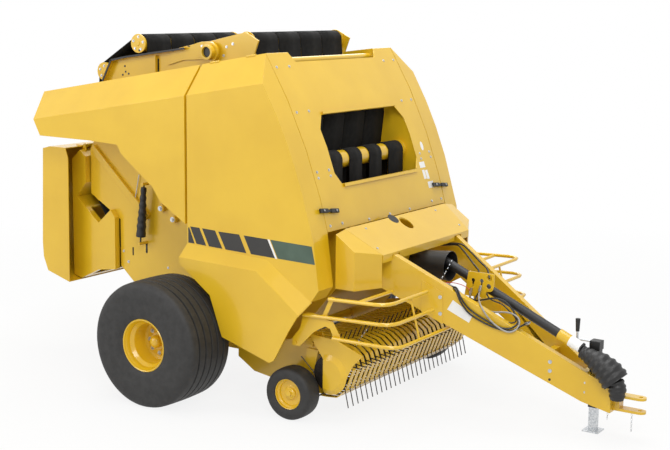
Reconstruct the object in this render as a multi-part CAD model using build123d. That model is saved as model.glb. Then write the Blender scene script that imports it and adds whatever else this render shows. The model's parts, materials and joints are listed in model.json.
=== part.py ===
from build123d import *
import math
import os

os.makedirs("parts", exist_ok=True)

# Round baler, millimetres. While it is drawn, +X points to the hitch, +Y to the left side,
# +Z up, the ground is z = 0 and the main axle is over x = 0. At the end every piece is moved
# so that the origin is under the middle of the whole machine.

# Sheet and plate thicknesses
sheet = 8
panel = 10
web = 12
run_gap = 6
pin_gap = 0.06

# Chamber: two upright walls that carry everything
wall_in = 650
wall_out = wall_in + sheet
seam_x = 105
seam_gap = 24
chassis_rear = seam_x + seam_gap / 2
tailgate_front = seam_x - seam_gap / 2

# Side faces
side_y = 1140
front_half = 937
flare_y = 1232

# Slopes of the long top lines, rise per mm of travel forward
roof_rise = 0.168
roof_z0 = 2690
bend_z0 = 2452


def roof_z(x):
    """Height of the upper edge of the side panels."""
    return roof_z0 + roof_rise * x


def bend_z(x):
    """Height of the bend below the sloping top band."""
    return bend_z0 + roof_rise * x


# Front panel, as x and z of its bends from the top down
front_profile = [(742, 2815), (950, 2465), (1126, 2091), (1262, 1718), (1330, 1474)]
# Where the bevel of the side panel meets its flat face, beside each point above
bevel_profile = [(863, bend_z(863)), (1004, 2343), (1106, 2125), (1207, 1864), (1309, 1519)]
nose_profile = [(1337, 1425), (1387, 1060), (1320, 966)]
crease_mid = (915, 1245)
crease_low = (121, 1289)

# Wheels
tyre_r = 512
tyre_w = 500
tyre_y = 1322
rim_r = 218
rim_seat_r = 205
axle_r = 60
gauge_x = 1113
gauge_y = 1075
gauge_r = 209
gauge_w = 178
gauge_rim_r = 120
gauge_arm_t = 24

# Tailgate pivot
pivot_x = 20
pivot_z = 2797
pivot_r = 62
pivot_bore = 40

# Pickup
lift_x = 520
lift_z = 420
lift_r = 40
reel_x = 1390
reel_z = 375
band_t = 6
tine_bar_r = 130
tine_pitch = 71.5
tine_count = 28
tine_wire = 5
band_w = 44
pickup_half = 907

# Jack, nose of the tongue and hitch, each placed from the jack
jack_x = 3160
jack_y = -2
beam_x1 = jack_x - 70
lug_x0 = jack_x + 165
hitch_x = jack_x + 365
lug_tip = hitch_x + 43

# Tongue: half width, top and bottom of the beams where they start and where they end
beam_x0 = 1345
beam_w = 60
beam_rear = (648, 1477, 1138)
beam_front = (98, 486, 241)


def along_beam(x, k):
    return beam_rear[k] + (beam_front[k] - beam_rear[k]) * (x - beam_x0) / (beam_x1 - beam_x0)


def beam_half(x):
    """Half distance between the outer faces of the tongue beams."""
    return along_beam(x, 0)


def beam_top(x):
    return along_beam(x, 1)


def beam_bottom(x):
    return along_beam(x, 2)


# Hitch and jack
hitch_hole_r = 16.5
lug_w = 90
lug_top_z = 308
lug_low_z = 204
lug_t = 20
jack_out = 36
jack_in = 30
jack_leg_half = jack_in - 0.3
jack_foot = 130

nodes = {}


def face_xz(points, y):
    return Face(Wire.make_polygon([Vector(x, y, z) for x, z in points], close=True))


def slab(points, y0, y1):
    """Outline in x and z, thick from y0 to y1."""
    return Solid.extrude(face_xz(points, y0), Vector(0, y1 - y0, 0))


def box(x0, x1, y0, y1, z0, z1):
    return Pos((x0 + x1) / 2, (y0 + y1) / 2, (z0 + z1) / 2) * Box(x1 - x0, y1 - y0, z1 - z0)


def rod(x, z, r, y0, y1):
    """Round bar along Y."""
    return Pos(x, (y0 + y1) / 2, z) * Rot(90, 0, 0) * Cylinder(r, abs(y1 - y0))


def rod_between(a, b, r):
    """Round bar from point a to point b."""
    axis = Vector(*b) - Vector(*a)
    plane = Plane(origin=Vector(*a), z_dir=axis)
    return Solid.make_cylinder(r, axis.length, plane)


def prism_between(a, b, r, sides=4):
    """Straight bar with a regular section from point a to point b."""
    axis = Vector(*b) - Vector(*a)
    section = (Plane(origin=Vector(*a), z_dir=axis) * RegularPolygon(r, sides)).face()
    return Solid.extrude(section, axis)


def cone_between(a, b, r0, r1):
    axis = Vector(*b) - Vector(*a)
    return Solid.make_cone(r0, r1, axis.length, Plane(origin=Vector(*a), z_dir=axis))


def loft_sides(points_a, y_a, points_b, y_b):
    return Solid.make_loft([w for w in (
        Wire.make_polygon([Vector(x, y_a, z) for x, z in points_a], close=True),
        Wire.make_polygon([Vector(x, y_b, z) for x, z in points_b], close=True))], True)


def inset(points, depths):
    """Outline with each side moved inward by its own depth; side i runs from point i to i + 1."""
    count = len(points)
    area = sum(points[i][0] * points[(i + 1) % count][1] - points[(i + 1) % count][0] * points[i][1]
               for i in range(count))
    turn = 1 if area > 0 else -1
    lines = []
    for i in range(count):
        (x0, z0), (x1, z1) = points[i], points[(i + 1) % count]
        length = math.hypot(x1 - x0, z1 - z0)
        nx, nz = -(z1 - z0) / length * turn, (x1 - x0) / length * turn
        lines.append((x0 + nx * depths[i], z0 + nz * depths[i], (x1 - x0) / length, (z1 - z0) / length))
    out = []
    for i in range(count):
        ax, az, adx, adz = lines[i - 1]
        bx, bz, bdx, bdz = lines[i]
        cross = adx * bdz - adz * bdx
        t = ((bx - ax) * bdz - (bz - az) * bdx) / cross
        out.append((ax + adx * t, az + adz * t))
    return out


def both_sides(right):
    """The right-hand piece and its mirror image on the left."""
    return [right, mirror(right, about=Plane.XZ)]


def pipe(points, bend, r):
    """Bent tube along straight runs joined by arcs."""
    path = FilletPolyline(*points, radius=bend)
    start = Plane(origin=path @ 0, z_dir=path % 0)
    return sweep(start * Circle(r), path=path)


def keep(name, solids):
    nodes[name] = Compound(children=list(solids)) if isinstance(solids, (list, tuple)) else solids


def profile_band(points, depth):
    """Closed outline of a sheet that follows the points, thick towards the machine."""
    closed = points + [(points[-1][0] - 400, points[-1][1]), (points[0][0] - 400, points[0][1])]
    inner = inset(closed, [depth] * (len(points) - 1) + [0, 0, 0])[:len(points)]
    return points + inner[::-1]


# Chamber walls of the chassis, with the legs that reach back to the axle
def chassis_walls():
    front = profile_band(front_profile, panel)[len(front_profile):][::-1]
    outline = [(chassis_rear, 2700), (300, 2760)] + front + [
        (beam_x0, 1440), (beam_x0, 1120), (1000, 700), (700, 330), (-170, 330), (-260, tyre_r), (-170, 740),
        (chassis_rear, 740)]
    plate = slab(outline, -wall_out, -wall_in)
    bore = rod(lift_x, lift_z, lift_r + pin_gap, -wall_out - 1, -wall_in + 1)
    return both_sides(plate.cut(bore))


keep("chassis_walls", chassis_walls())

# Axle: square cross tube with a round spindle at each end
spindle_end = tyre_y + 60
axle_tube = box(-65, 65, -wall_in, wall_in, tyre_r - 65, tyre_r + 65)
spindles = [rod(0, tyre_r, axle_r, s * wall_out, s * (tyre_y - 130)) for s in (-1, 1)]
stubs = [rod(0, tyre_r, 35, s * (tyre_y - 130), s * spindle_end) for s in (-1, 1)]
keep("axle", [axle_tube] + [spindles[i].fuse(stubs[i]) for i in range(2)])


# Front panel with its window
window_corners = [(1010, 562, 2330), (1068, 646, 2226), (1195, 645, 1891), (1223, 584, 1803)]
panel_half = front_half - run_gap


def window_cut(grow, depth):
    right = [(h + grow, z) for x, h, z in window_corners]
    points = right + [(-h, z) for h, z in right[::-1]]
    wire = Wire.make_polygon([Vector(750, h, z) for h, z in points], close=True)
    return Solid.extrude(Face(wire), Vector(depth, 0, 0))


panel_sheet = slab(profile_band(front_profile, panel), -panel_half, panel_half)
keep("front_panel", panel_sheet.cut(window_cut(0, 700)))

# Cross tubes between the walls and outriggers that carry the front panel
# columns: x, z, radius
cross_tubes = [(690, 2740, 32), (1225, 1560, 40), (1150, 1010, 60), (250, 560, 45)]
tongue_block = box(beam_x0 - 55, beam_x0, -wall_in, wall_in, 1135, 1440)
keep("cross_tubes", [rod(x, z, r, -wall_in, wall_in) for x, z, r in cross_tubes] + [tongue_block])
# columns: x0, x1, z0, z1
outriggers = [(640, 700, 2690, 2750), (1040, 1090, 2080, 2130), (1225, 1285, 1500, 1560)]
keep("outriggers", [s for x0, x1, z0, z1 in outriggers
                    for s in both_sides(box(x0, x1, -panel_half, -wall_out, z0, z1))])

# Hood over the driveline: sloping top sheet with a short front lip
hood_back = (1399, 800, 1491)
hood_front = (1689, 703, 1301)
hood_lip = 60
seat = 0.3


def hood_half(x):
    """Half width of the hood at x."""
    (x0, h0, z0), (x1, h1, z1) = hood_back, hood_front
    return h0 + (h1 - h0) * (x - x0) / (x1 - x0)


def hood():
    (x0, h0, z0), (x1, h1, z1) = hood_back, hood_front
    top = Face(Wire.make_polygon([Vector(x0, -h0, z0), Vector(x1, -h1, z1), Vector(x1, h1, z1),
                                  Vector(x0, h0, z0)], close=True))
    sheet_top = Solid.extrude(top, Vector(0, 0, -panel))
    lip = box(x1 - sheet, x1, -h1, h1, z1 - hood_lip, z1 - panel / 2)
    for side in (-1, 1):
        y = side * (beam_half(x1) - beam_w / 2)
        lip = lip.cut(box(x1 - 20, x1 + 20, y - beam_w, y + beam_w, z1 - hood_lip - 1,
                          beam_top(x1 - sheet) + seat))
    hole = Pos(1480, 0, 1380) * Cylinder(60, 400)
    return sheet_top.fuse(lip).cut(hole)


keep("hood", hood())

# Covers on both sides of the hood, folded from sheet and open below
cover_low = 1045
cover_plan = [(1402, 932), (1402, hood_half(1402)), (1682, hood_half(1682)), (1573, 932)]


def cover_height(x, y):
    return hood_back[2] - 0.7086 * (x - hood_back[0]) - 0.16 * (y - hood_back[1])


def corner_cover():
    outer = Wire.make_polygon([Vector(x, -y, cover_low) for x, y in cover_plan], close=True)
    inner_plan = inset(cover_plan, [sheet, -60, sheet, sheet])
    inner = Wire.make_polygon([Vector(x, -y, cover_low - 1) for x, y in inner_plan], close=True)
    prism = Solid.extrude(Face(outer), Vector(0, 0, 600))
    hollow = Solid.extrude(Face(inner), Vector(0, 0, 600))

    def under(lift):
        big = [(1200, 500), (1200, 1100), (1800, 1100), (1800, 500)]
        low = Wire.make_polygon([Vector(x, -y, cover_height(x, y) + lift) for x, y in big], close=True)
        return Solid.extrude(Face(low), Vector(0, 0, 900))
    return prism.cut(under(0)).cut(hollow.cut(under(-sheet)))


keep("corner_covers", both_sides(corner_cover()))


# Tongue: two tapering box beams, joined by cross plates and a nose box
def beam():
    """Right-hand beam as a loft between its end sections."""
    def section(x):
        h = beam_half(x)
        return Wire.make_polygon([Vector(x, -h, beam_bottom(x)), Vector(x, -h, beam_top(x)),
                                  Vector(x, -h + beam_w, beam_top(x)),
                                  Vector(x, -h + beam_w, beam_bottom(x))], close=True)
    return Solid.make_loft([section(beam_x0), section(beam_x1)], True)


def square_post(half, z0, z1):
    """Square bar of the jack, upright on its axis."""
    return box(jack_x - half, jack_x + half, jack_y - half, jack_y + half, z0, z1)


nose_x1 = lug_x0
nose_half = beam_half(beam_x1)
nose_low = lug_low_z - 14
nose_high = lug_top_z + 90


def nose():
    sides = [(beam_x1, beam_bottom(beam_x1)), (beam_x1, beam_top(beam_x1)), (nose_x1, nose_high),
             (nose_x1, nose_low)]
    solid = slab(sides, -nose_half, nose_half)
    hollow = slab(inset(sides, [0, web, web, web]), -nose_half + web, nose_half - web)
    return solid.cut(hollow).cut(square_post(jack_out, -100, 900))


# columns: x, height of the cross plate above the beam's bottom edge
tongue_plates = [(2150, 170), (2750, 160)]


def tongue():
    right = beam()
    parts = [right, mirror(right, about=Plane.XZ), nose()]
    for x, rise in tongue_plates:
        h = beam_half(x) - beam_w / 2
        parts.append(box(x, x + 60, -h, h, beam_bottom(x) + 20, beam_bottom(x) + rise))
    return parts[0].fuse(*parts[1:])


keep("tongue", tongue())


# Clevis hitch: two lugs on a block, with one vertical pin hole
def hitch():
    def lug(z0):
        flat = box(nose_x1, hitch_x, -lug_w / 2, lug_w / 2, z0, z0 + lug_t)
        tip = Pos(hitch_x, 0, z0 + lug_t / 2) * Cylinder(lug_tip - hitch_x, lug_t)
        return flat.fuse(tip)
    block = box(nose_x1, nose_x1 + 50, -lug_w / 2, lug_w / 2, lug_low_z, lug_top_z + lug_t)
    hole = Pos(hitch_x, 0, lug_top_z) * Cylinder(hitch_hole_r, 600)
    return block.fuse(lug(lug_low_z), lug(lug_top_z)).cut(hole)


keep("hitch_clevis", hitch())

# Jack: fixed tube with its gear head, sliding leg with a foot plate, hand crank
jack_tube_z0 = 190
jack_tube_z1 = 640
jack_head = 42
jack_head_h = 70
jack_leg_top = 380
jack_foot_t = 12
crank_drop = 14
crank_out = 115
crank_r = 9
crank_arm = 60
grip_r = 14
grip_h = 100


def jack_tube():
    tube = square_post(jack_out, jack_tube_z0, jack_tube_z1)
    bore = square_post(jack_in, jack_tube_z0 - 1, jack_tube_z1 - web)
    return tube.cut(bore).fuse(square_post(jack_head, jack_tube_z1, jack_tube_z1 + jack_head_h))


def jack_leg():
    leg = square_post(jack_leg_half, jack_foot_t, jack_leg_top)
    return leg.fuse(square_post(jack_foot / 2, 0, jack_foot_t))


def jack_crank():
    """Hand crank behind the gear head: shaft, arm and upright tapered grip."""
    z = jack_tube_z1 + jack_head_h - crank_drop
    x = jack_x - jack_head
    shaft = prism_between((x, jack_y, z), (x - crank_out, jack_y, z), crank_r, 8)
    arm = prism_between((x - crank_out, jack_y, z - crank_r), (x - crank_out, jack_y, z + crank_arm), crank_r, 8)
    grip = cone_between((x - crank_out, jack_y, z + crank_arm), (x - crank_out, jack_y, z + crank_arm + grip_h),
                        grip_r, grip_r + 5)
    return shaft.fuse(arm, grip)


keep("jack_tube", jack_tube())
keep("jack_leg", jack_leg())
keep("jack_crank", jack_crank())

# Driveline: gearbox block, bell guard, shaft tube, front boot and yoke
gearbox_x0 = beam_x0
gearbox_x1 = 1560
bell_x1 = 1900
bell_z = 1128
# the shaft runs straight from inside the bell to the yoke, and lies beside the jack
shaft_start = Vector(1790, -10, 1195)
shaft_end = Vector(hitch_x - 80, -124, 508)


def shaft_at(x):
    """Point of the shaft's axis at the given x."""
    return shaft_start + (shaft_end - shaft_start) * ((x - shaft_start.X) / (shaft_end.X - shaft_start.X))


tube_x1 = shaft_end.X - 555
sleeve_x1 = shaft_end.X - 357
boot_x1 = shaft_end.X - 95


gearbox = box(gearbox_x0, gearbox_x1, -170, 170, 1010, 1290)
keep("gearbox", gearbox)
bell = cone_between((gearbox_x1, 0, bell_z), (bell_x1, 0, bell_z), 95, 122)
bell_core = cone_between((gearbox_x1 + 8, 0, bell_z), (bell_x1 + 1, 0, bell_z), 88, 117)
input_r = 24
shaft_hole = rod_between((gearbox_x1 - 1, 0, bell_z), (gearbox_x1 + 20, 0, bell_z), input_r + run_gap)
keep("driveline_bell", bell.cut(bell_core, shaft_hole))
# inside the bell a short shaft runs from the gearbox to the joint at the tube's end
joint_at = Vector(1720, 0, bell_z)
inner_shaft = rod_between((gearbox_x1, 0, bell_z), joint_at, input_r).fuse(
    rod(joint_at.X, joint_at.Z, input_r + 10, -input_r - 10, input_r + 10),
    rod_between(joint_at, shaft_start, input_r))
keep("driveline_tube", rod_between(shaft_start, shaft_at(tube_x1), 36).fuse(inner_shaft))
keep("driveline_sleeve", rod_between(shaft_at(tube_x1), shaft_at(sleeve_x1), 42))


def ribbed(start, end, r0, r1, ribs, depth, flange):
    """Rubber boot: ribs that grow from r0 to r1, and a wide rim at its end."""
    axis = (Vector(*end) - Vector(*start)).normalized()
    across = axis.cross(Vector(0, 0, 1)).normalized()
    step = (Vector(*end) - Vector(*start)).length / (ribs + 1)
    profile = [(0, 0), (0, r0)]
    for i in range(ribs):
        r = r0 + (r1 - r0) * (i + 1) / ribs
        profile += [(step * (i + 0.5), r), (step * (i + 1), r - depth)]
    profile += [(step * (ribs + 0.6), r1 + flange), (step * (ribs + 1), r1 + flange), (step * (ribs + 1), 0)]
    outline = Wire.make_polygon([Vector(*start) + axis * s + across * r for s, r in profile], close=True)
    return Solid.revolve(Face(outline), 360, Axis(Vector(*start), axis))


boot_ribs = 7
keep("driveline_boot", ribbed(shaft_at(sleeve_x1), shaft_at(boot_x1), 44, 58, boot_ribs, 7, 14))
yoke_x0 = boot_x1
yoke_bore_x0 = boot_x1 + 20
yoke_r = 38
yoke_bore_r = 17.5


def yoke():
    barrel = rod_between(shaft_at(yoke_x0), shaft_end, yoke_r)
    return barrel.cut(rod_between(shaft_at(yoke_bore_x0), shaft_at(shaft_end.X + 20), yoke_bore_r))


keep("driveline_yoke", yoke())

# Plate that holds the hose ends
holder_x0 = 2100
holder = slab([(2115, 1126), (2338, 1133), (2338, 1008), (2264, 941), (2094, 925)], -104, -96)
holder_foot = box(2160, 2200, -108, -104, beam_bottom(2150) + 170, 1000)
keep("hose_holder", holder.fuse(holder_foot))

# Top front roller on its arms, and the belts that pass over it
top_roller = (382, 2868, 96)
belt_t = 8
belt_gap = 0.4
belt_w = 306
belt_pitch = 318
belt_count = 4
belt_ys = [(i - (belt_count - 1) / 2) * belt_pitch for i in range(belt_count)]


def unit_normal(c0, c1, side):
    """Normal of the tangent line from circle c0 to circle c1, on the given side."""
    dx, dz = c1[0] - c0[0], c1[1] - c0[1]
    length = math.hypot(dx, dz)
    dx, dz = dx / length, dz / length
    along = (c0[2] - c1[2]) / length
    across = math.sqrt(1 - along * along) * side
    return (dx * along - dz * across, dz * along + dx * across)


def offset_point(c, n, extra):
    return (c[0] + n[0] * (c[2] + extra), c[1] + n[1] * (c[2] + extra))


def belt_run(circles, side, trim=(0, 0)):
    """Outline of a belt that runs over the circles, all on the same side of it."""
    low, high = belt_gap, belt_gap + belt_t
    inner, outer = [], []
    for i in range(len(circles) - 1):
        n = unit_normal(circles[i], circles[i + 1], side)
        if i:
            a0 = math.atan2(last[1], last[0])
            a1 = math.atan2(n[1], n[0])
            turn = (a1 - a0 + math.pi) % (2 * math.pi) - math.pi
            steps = max(1, round(abs(turn) / 0.35))
            reach = 1 / math.cos(turn / steps / 2)
            for k in range(steps):
                a = a0 + turn * (k + 0.5) / steps
                m = (math.cos(a) * reach, math.sin(a) * reach)
                inner.append(offset_point(circles[i], m, low))
                outer.append(offset_point(circles[i], m, high))
        for c in (circles[i], circles[i + 1]):
            inner.append(offset_point(c, n, low))
            outer.append(offset_point(c, n, high))
        last = n
    return inner + outer[::-1]


def belts(outline):
    return [slab(outline, y - belt_w / 2, y + belt_w / 2) for y in belt_ys]


keep("top_roller", rod(*top_roller, -wall_in + run_gap, wall_in - run_gap))
# the belts come from over the pivot, round the roller and down behind the front panel
window_roller = (1000, 1935, 145)
lower_roller = (1000, 1480, 75)
belt_start = (140, 2800, 130)
keep("front_belts", belts(belt_run([belt_start, top_roller, window_roller, lower_roller], 1)))
keep("front_rollers", [rod(x, z, r, -wall_in, wall_in) for x, z, r in (window_roller, lower_roller)])

# Arms of the top roller, ears of the tailgate pivot and the pivot tubes
ear_in = wall_out + run_gap
ear_out = ear_in + 16


def pivot_ear():
    ear = slab([(-60, 2740), (-60, 2860), (60, 2900), (354, 2965), (482, 2900), (420, 2740),
                (240, 2640), (180, 2640)], -ear_out, -ear_in)
    spacer = box(190, 400, -ear_in, -wall_out, 2690, 2740)
    tube = rod(pivot_x, pivot_z, pivot_r, -wall_in + 4, -ear_out - 70)
    shaft = rod(top_roller[0], top_roller[1], 30, -wall_in + run_gap, -ear_in)
    return ear.fuse(spacer, tube, shaft)


keep("pivot_ears", both_sides(pivot_ear()))

# Side panels: deep sheet shells, each hinged along its sloping top edge
seam_front = chassis_rear
a_edge = [(seam_front, crease_low[1]), (seam_front, roof_z(seam_front))] + front_profile + \
    nose_profile + [crease_mid]
b_edge = [(seam_front, crease_low[1]), (seam_front, bend_z(seam_front))] + bevel_profile + \
    nose_profile + [crease_mid]


def side_shell(a, b, depths, y_in, y_out):
    """Shell between the inner outline a and the outer outline b, open towards the machine."""
    body = loft_sides(a, -y_in, b, -y_out)
    cut_a = inset(a, depths)
    cut_b = inset(b, depths)
    core = loft_sides(cut_a, -y_in + 1, cut_b, -y_out + panel)
    return body.cut(core)


def flare():
    """Lower part of the side panel, bulging outward below its crease."""
    rim_top = [(seam_front, crease_low[1]), crease_mid, nose_profile[-1]]
    rim_low = [(seam_front - 12, 1187), (867, 1165), (1265, 873)]

    def band(points):
        rest = [(points[-1][0], points[-1][1] - 300), (points[0][0], points[0][1] - 300)]
        under = inset(points + rest, [panel, panel, 0, 0, 0])[:3]
        return points + under[::-1]
    edge = slab(band(rim_top), -side_y, -side_y + panel)
    strip = edge.fuse(loft_sides(band(rim_top), -side_y, band(rim_low), -flare_y))
    low = rim_low + [(1178, 738), (1042, 488), (997, 461), (536, 597), (415, 918), (seam_front - 8, 1134)]
    return strip.fuse(slab(low, -flare_y, -flare_y + panel))


def side_panel():
    return side_shell(a_edge, b_edge, [panel] * len(a_edge), front_half, side_y)


# Hinges of the side panels, on their sloping top edge: three knuckles each, on one pin
# columns: where it starts, and the face that its arms stand on
panel_hinges = [(200, ear_out), (560, wall_out)]
knuckle = 30
knuckle_r = 9
hinge_pin_r = 5
arm_h = 20


def edge_bar(x0, x1, r):
    """Round bar along the right-hand hinge line from x0 to x1."""
    return rod_between((x0, -front_half, roof_z(x0)), (x1, -front_half, roof_z(x1)), r)


def panel_hinge(x, foot):
    """Fixed half: two outer knuckles with the pin, on arms from the face at y = foot."""
    solid = edge_bar(x, x + 3 * knuckle, hinge_pin_r)
    for x0 in (x, x + 2 * knuckle):
        z = roof_z(x0)
        arm = box(x0 + 2, x0 + knuckle - 2, -panel_half, -foot, z - arm_h, z)
        solid = solid.fuse(edge_bar(x0, x0 + knuckle, knuckle_r), arm)
    return solid


def hinged(solid):
    """The side panel with its middle knuckles, cleared for the fixed ones."""
    for x, foot in panel_hinges:
        for x0 in (x, x + 2 * knuckle):
            solid = solid.cut(edge_bar(x0 - seat, x0 + knuckle + seat, knuckle_r + 1))
        solid = solid.fuse(edge_bar(x + knuckle + seat, x + 2 * knuckle - seat, knuckle_r))
        solid = solid.cut(edge_bar(x + knuckle, x + 2 * knuckle, hinge_pin_r + pin_gap))
    return solid


keep("panel_hinges", [s for x, foot in panel_hinges for s in both_sides(panel_hinge(x, foot))])
right_panel = hinged(side_panel())
keep("side_panel_right", right_panel)
keep("side_panel_left", mirror(right_panel, about=Plane.XZ))
keep("side_flare_right", flare())
keep("side_flare_left", mirror(flare(), about=Plane.XZ))

# Tailgate side shells
tail_x = tailgate_front
tail_low = [(-945, 2044), (-628, 2029), (-583, 1955), (-249, 1710), (-168, 1599), (tail_x, 1441)]
tail_a = [(tail_x, roof_z(tail_x)), (-1660, roof_z(-1660)), (-1560, 2048)] + tail_low
tail_b = [(tail_x, bend_z(tail_x)), (-1592, bend_z(-1592)), (-1517, 2048)] + tail_low


def tail_shell():
    depths = [panel, panel] + [-80] * 6 + [panel]
    return side_shell(tail_a, tail_b, depths, front_half, side_y)


keep("tailgate_shells", both_sides(tail_shell()))

# Tailgate walls, turning on the pivot tubes
wall_outline = [(tail_x, 760), (tail_x, 2700), (60, 2730), (60, 2860), (-60, 2860), (-193, 2812),
                (-262, 2827), (-924, 2734), (-1088, 2702), (-1194, 2510), (-1300, 2050), (-1390, 1900),
                (-1390, 1500), (-1045, 1300), (-1045, 886), (-900, 760)]


def tailgate_wall():
    plate = slab(wall_outline, -wall_out, -wall_in)
    boss = rod(pivot_x, pivot_z, pivot_r + 33, -wall_out, -wall_in)
    bore = rod(pivot_x, pivot_z, pivot_r + pin_gap, -wall_out - 1, -wall_in + 1)
    return plate.fuse(boss).cut(bore)


keep("tailgate_walls", both_sides(tailgate_wall()))

# Rollers of the tailgate; columns: x, z, radius
tail_rollers = [(-808, 2844, 69), (-1205, 2592, 76), (-1290, 1500, 60), (-900, 900, 60), (-60, 860, 60)]
keep("tailgate_rollers", [rod(x, z, r, -wall_in, wall_in) for x, z, r in tail_rollers])
tail_start = (-30, 2790, 110)
keep("tailgate_belts", belts(belt_run([tail_start] + tail_rollers, -1)))
# columns: x, z, radius of the arms that carry the side shells
shell_arms = [(-150, 2350, 28), (-850, 2200, 28), (-1180, 2180, 28)]
keep("shell_arms", [s for x, z, r in shell_arms for s in both_sides(rod(x, z, r, -side_y + panel, -wall_out))])

# On the outside of each tailgate wall: a sloping channel, pads with large bolts, and a tension
# spring in a ribbed sleeve between two pins
channel_line = [(-1324, 1938), (-692, 1373)]
channel_w = 60
channel_h = 32
spring_y = wall_out + 80
spring_pins = [(-694, 1652), (-742, 1128)]
spring_pin_r = 14
spring_sleeve = [(-697, 1622), (-737, 1190)]
bolt_pads = [(-549, 1448), (-414, 1366)]
spring_ribs = 6
pad_r = 34
pad_h = 40


def tail_channel():
    (x0, z0), (x1, z1) = channel_line
    length = math.hypot(x1 - x0, z1 - z0)
    nx, nz = (z1 - z0) / length * channel_w, -(x1 - x0) / length * channel_w
    outline = [(x0, z0), (x1, z1), (x1 + nx, z1 + nz), (x0 + nx, z0 + nz)]
    return slab(outline, -wall_out - channel_h, -wall_out - seat)


def spring():
    """Sleeve of the spring with the rods of its two hooks."""
    (xp0, zp0), (xp1, zp1) = spring_pins
    (x0, z0), (x1, z1) = spring_sleeve
    sleeve = ribbed((x0, -spring_y, z0), (x1, -spring_y, z1), 24, 42, spring_ribs, 5, 0)
    upper = prism_between((xp0, -spring_y, zp0 - spring_pin_r - seat), (x0, -spring_y, z0 - 10), 8, 6)
    lower = prism_between((x1, -spring_y, z1 + 10), (xp1, -spring_y, zp1 + spring_pin_r + seat), 8, 6)
    return sleeve.fuse(upper, lower)


braces = [tail_channel()]
braces += [rod(x, z, spring_pin_r, -spring_y - 24, -wall_out - seat) for x, z in spring_pins]
braces += [rod(x, z, pad_r, -wall_out - pad_h, -wall_out - seat) for x, z in bolt_pads]
keep("tail_braces", [s for piece in braces for s in both_sides(piece)])
keep("tail_springs", both_sides(spring()))

# Net box on the back of the tailgate, open to the rear behind its door
box_half = wall_out + 58
door_half = box_half + 144
door_top = 1919
box_front = -1400
box_outline = [(-1560, 1802), (-1464, 1890), (-1398, 1837), (-1398, 1602), (-1510, 1468), (-1252, 1256),
               (-1109, 1385), (-1060, 1320), (-1060, 858), (-1262, 830), (-1470, 728), (-1560, 754)]


door_hinge = (-1462, 1925)
# rear door hinges: y where each one starts; two ears with a pin, and the door's knuckle between
door_hinge_ys = [-660, -50, 560]
ear_t = 12
door_knuckle = 76


def door_ears(y):
    x, z = door_hinge
    outline = [(x - 28, z - 60), (x + 22, z - 46), (x + 12, z + 14), (x - 12, z + 14)]
    pin = rod(x, z, hinge_pin_r * 2, y, y + door_knuckle + 2 * ear_t)
    return pin.fuse(slab(outline, y, y + ear_t), slab(outline, y + ear_t + door_knuckle, y + 2 * ear_t + door_knuckle))


def door_leaf(y):
    """Knuckle of the rear door with its leaf on the door's top sheet."""
    x, z = door_hinge
    width = door_knuckle - 2 * seat
    barrel = rod(x, z, 18, y, y + width)
    leaf = box(x - 110, x, y, y + width, door_top, door_top + 8)
    return barrel.fuse(leaf).cut(rod(x, z, hinge_pin_r * 2 + pin_gap, y - 1, y + door_knuckle + 1))


def net_box():
    body = slab(box_outline, -box_half, box_half)
    depths = [sheet] * (len(box_outline) - 1) + [-60]
    hollow = slab(inset(box_outline, depths), -box_half + sheet, box_half - sheet)
    # ahead of the chamber's rear edge only its two cheeks remain, outside the walls
    chamber = box(box_front, 0, -wall_out, wall_out, 0, 3000)
    return body.cut(hollow).cut(chamber).fuse(*[door_ears(y) for y in door_hinge_ys])


keep("net_box", net_box())

# Rear door: a deep tray hinged along its top
door_outline = [(-1482, 714), (-1744, 789), (-1795, 912), (-1804, 1044), (-1774, 1897), (-1690, door_top),
                (-1500, door_top), (-1468, 1825)]


def net_door():
    body = slab(door_outline, -door_half, door_half)
    depths = [sheet] * 7 + [-80]
    depths[6] = -10
    tray = body.cut(slab(inset(door_outline, depths), -door_half + sheet, door_half - sheet))
    leaves = [door_leaf(y + ear_t + seat) for y in door_hinge_ys]
    return tray.fuse(*leaves)


keep("net_door", net_door())


# Wheels
def tyre(x, y, r, w, bore):
    """Tyre with rounded shoulders and a rounded tread."""
    crown = 0.05 * r
    half = w / 2
    points = [(bore, -half * 0.72), (bore + 0.25 * (r - bore), -half), (r - 0.28 * (r - bore), -half),
              (r - 0.02 * r, -half * 0.74), (r, 0), (r - 0.02 * r, half * 0.74),
              (r - 0.28 * (r - bore), half), (bore + 0.25 * (r - bore), half), (bore, half * 0.72)]
    outline = Face(Wire.make_polygon([Vector(0, b, a) for a, b in points], close=True))
    ring = Solid.revolve(outline, 360, Axis((0, 0, 0), (0, 1, 0)))
    return Pos(x, y, r) * ring


def rim(x, y, z, r, w, dish, hub_r, bore):
    """Rim barrel with a dished disc and hub, open towards the outside."""
    half = w / 2
    points = [(bore, dish - 30), (bore, dish + 60), (hub_r, dish + 60), (hub_r, dish + 10), (r - 12, dish + 10),
              (r - 12, half), (r, half), (r, -half), (r - 12, -half), (r - 12, dish), (hub_r, dish),
              (hub_r, dish - 30)]
    outline = Face(Wire.make_polygon([Vector(0, -b, a) for a, b in points], close=True))
    ring = Solid.revolve(outline, 360, Axis((0, 0, 0), (0, 1, 0)))
    return Pos(x, y, z) * ring


right_tyre = tyre(0, -tyre_y, tyre_r, tyre_w, rim_seat_r)
right_rim = rim(0, -tyre_y, tyre_r, rim_seat_r, tyre_w * 0.72, 20, 75, 35.05)
keep("tyre_right", right_tyre)
keep("tyre_left", mirror(right_tyre, about=Plane.XZ))
keep("rim_right", right_rim)
keep("rim_left", mirror(right_rim, about=Plane.XZ))

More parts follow.
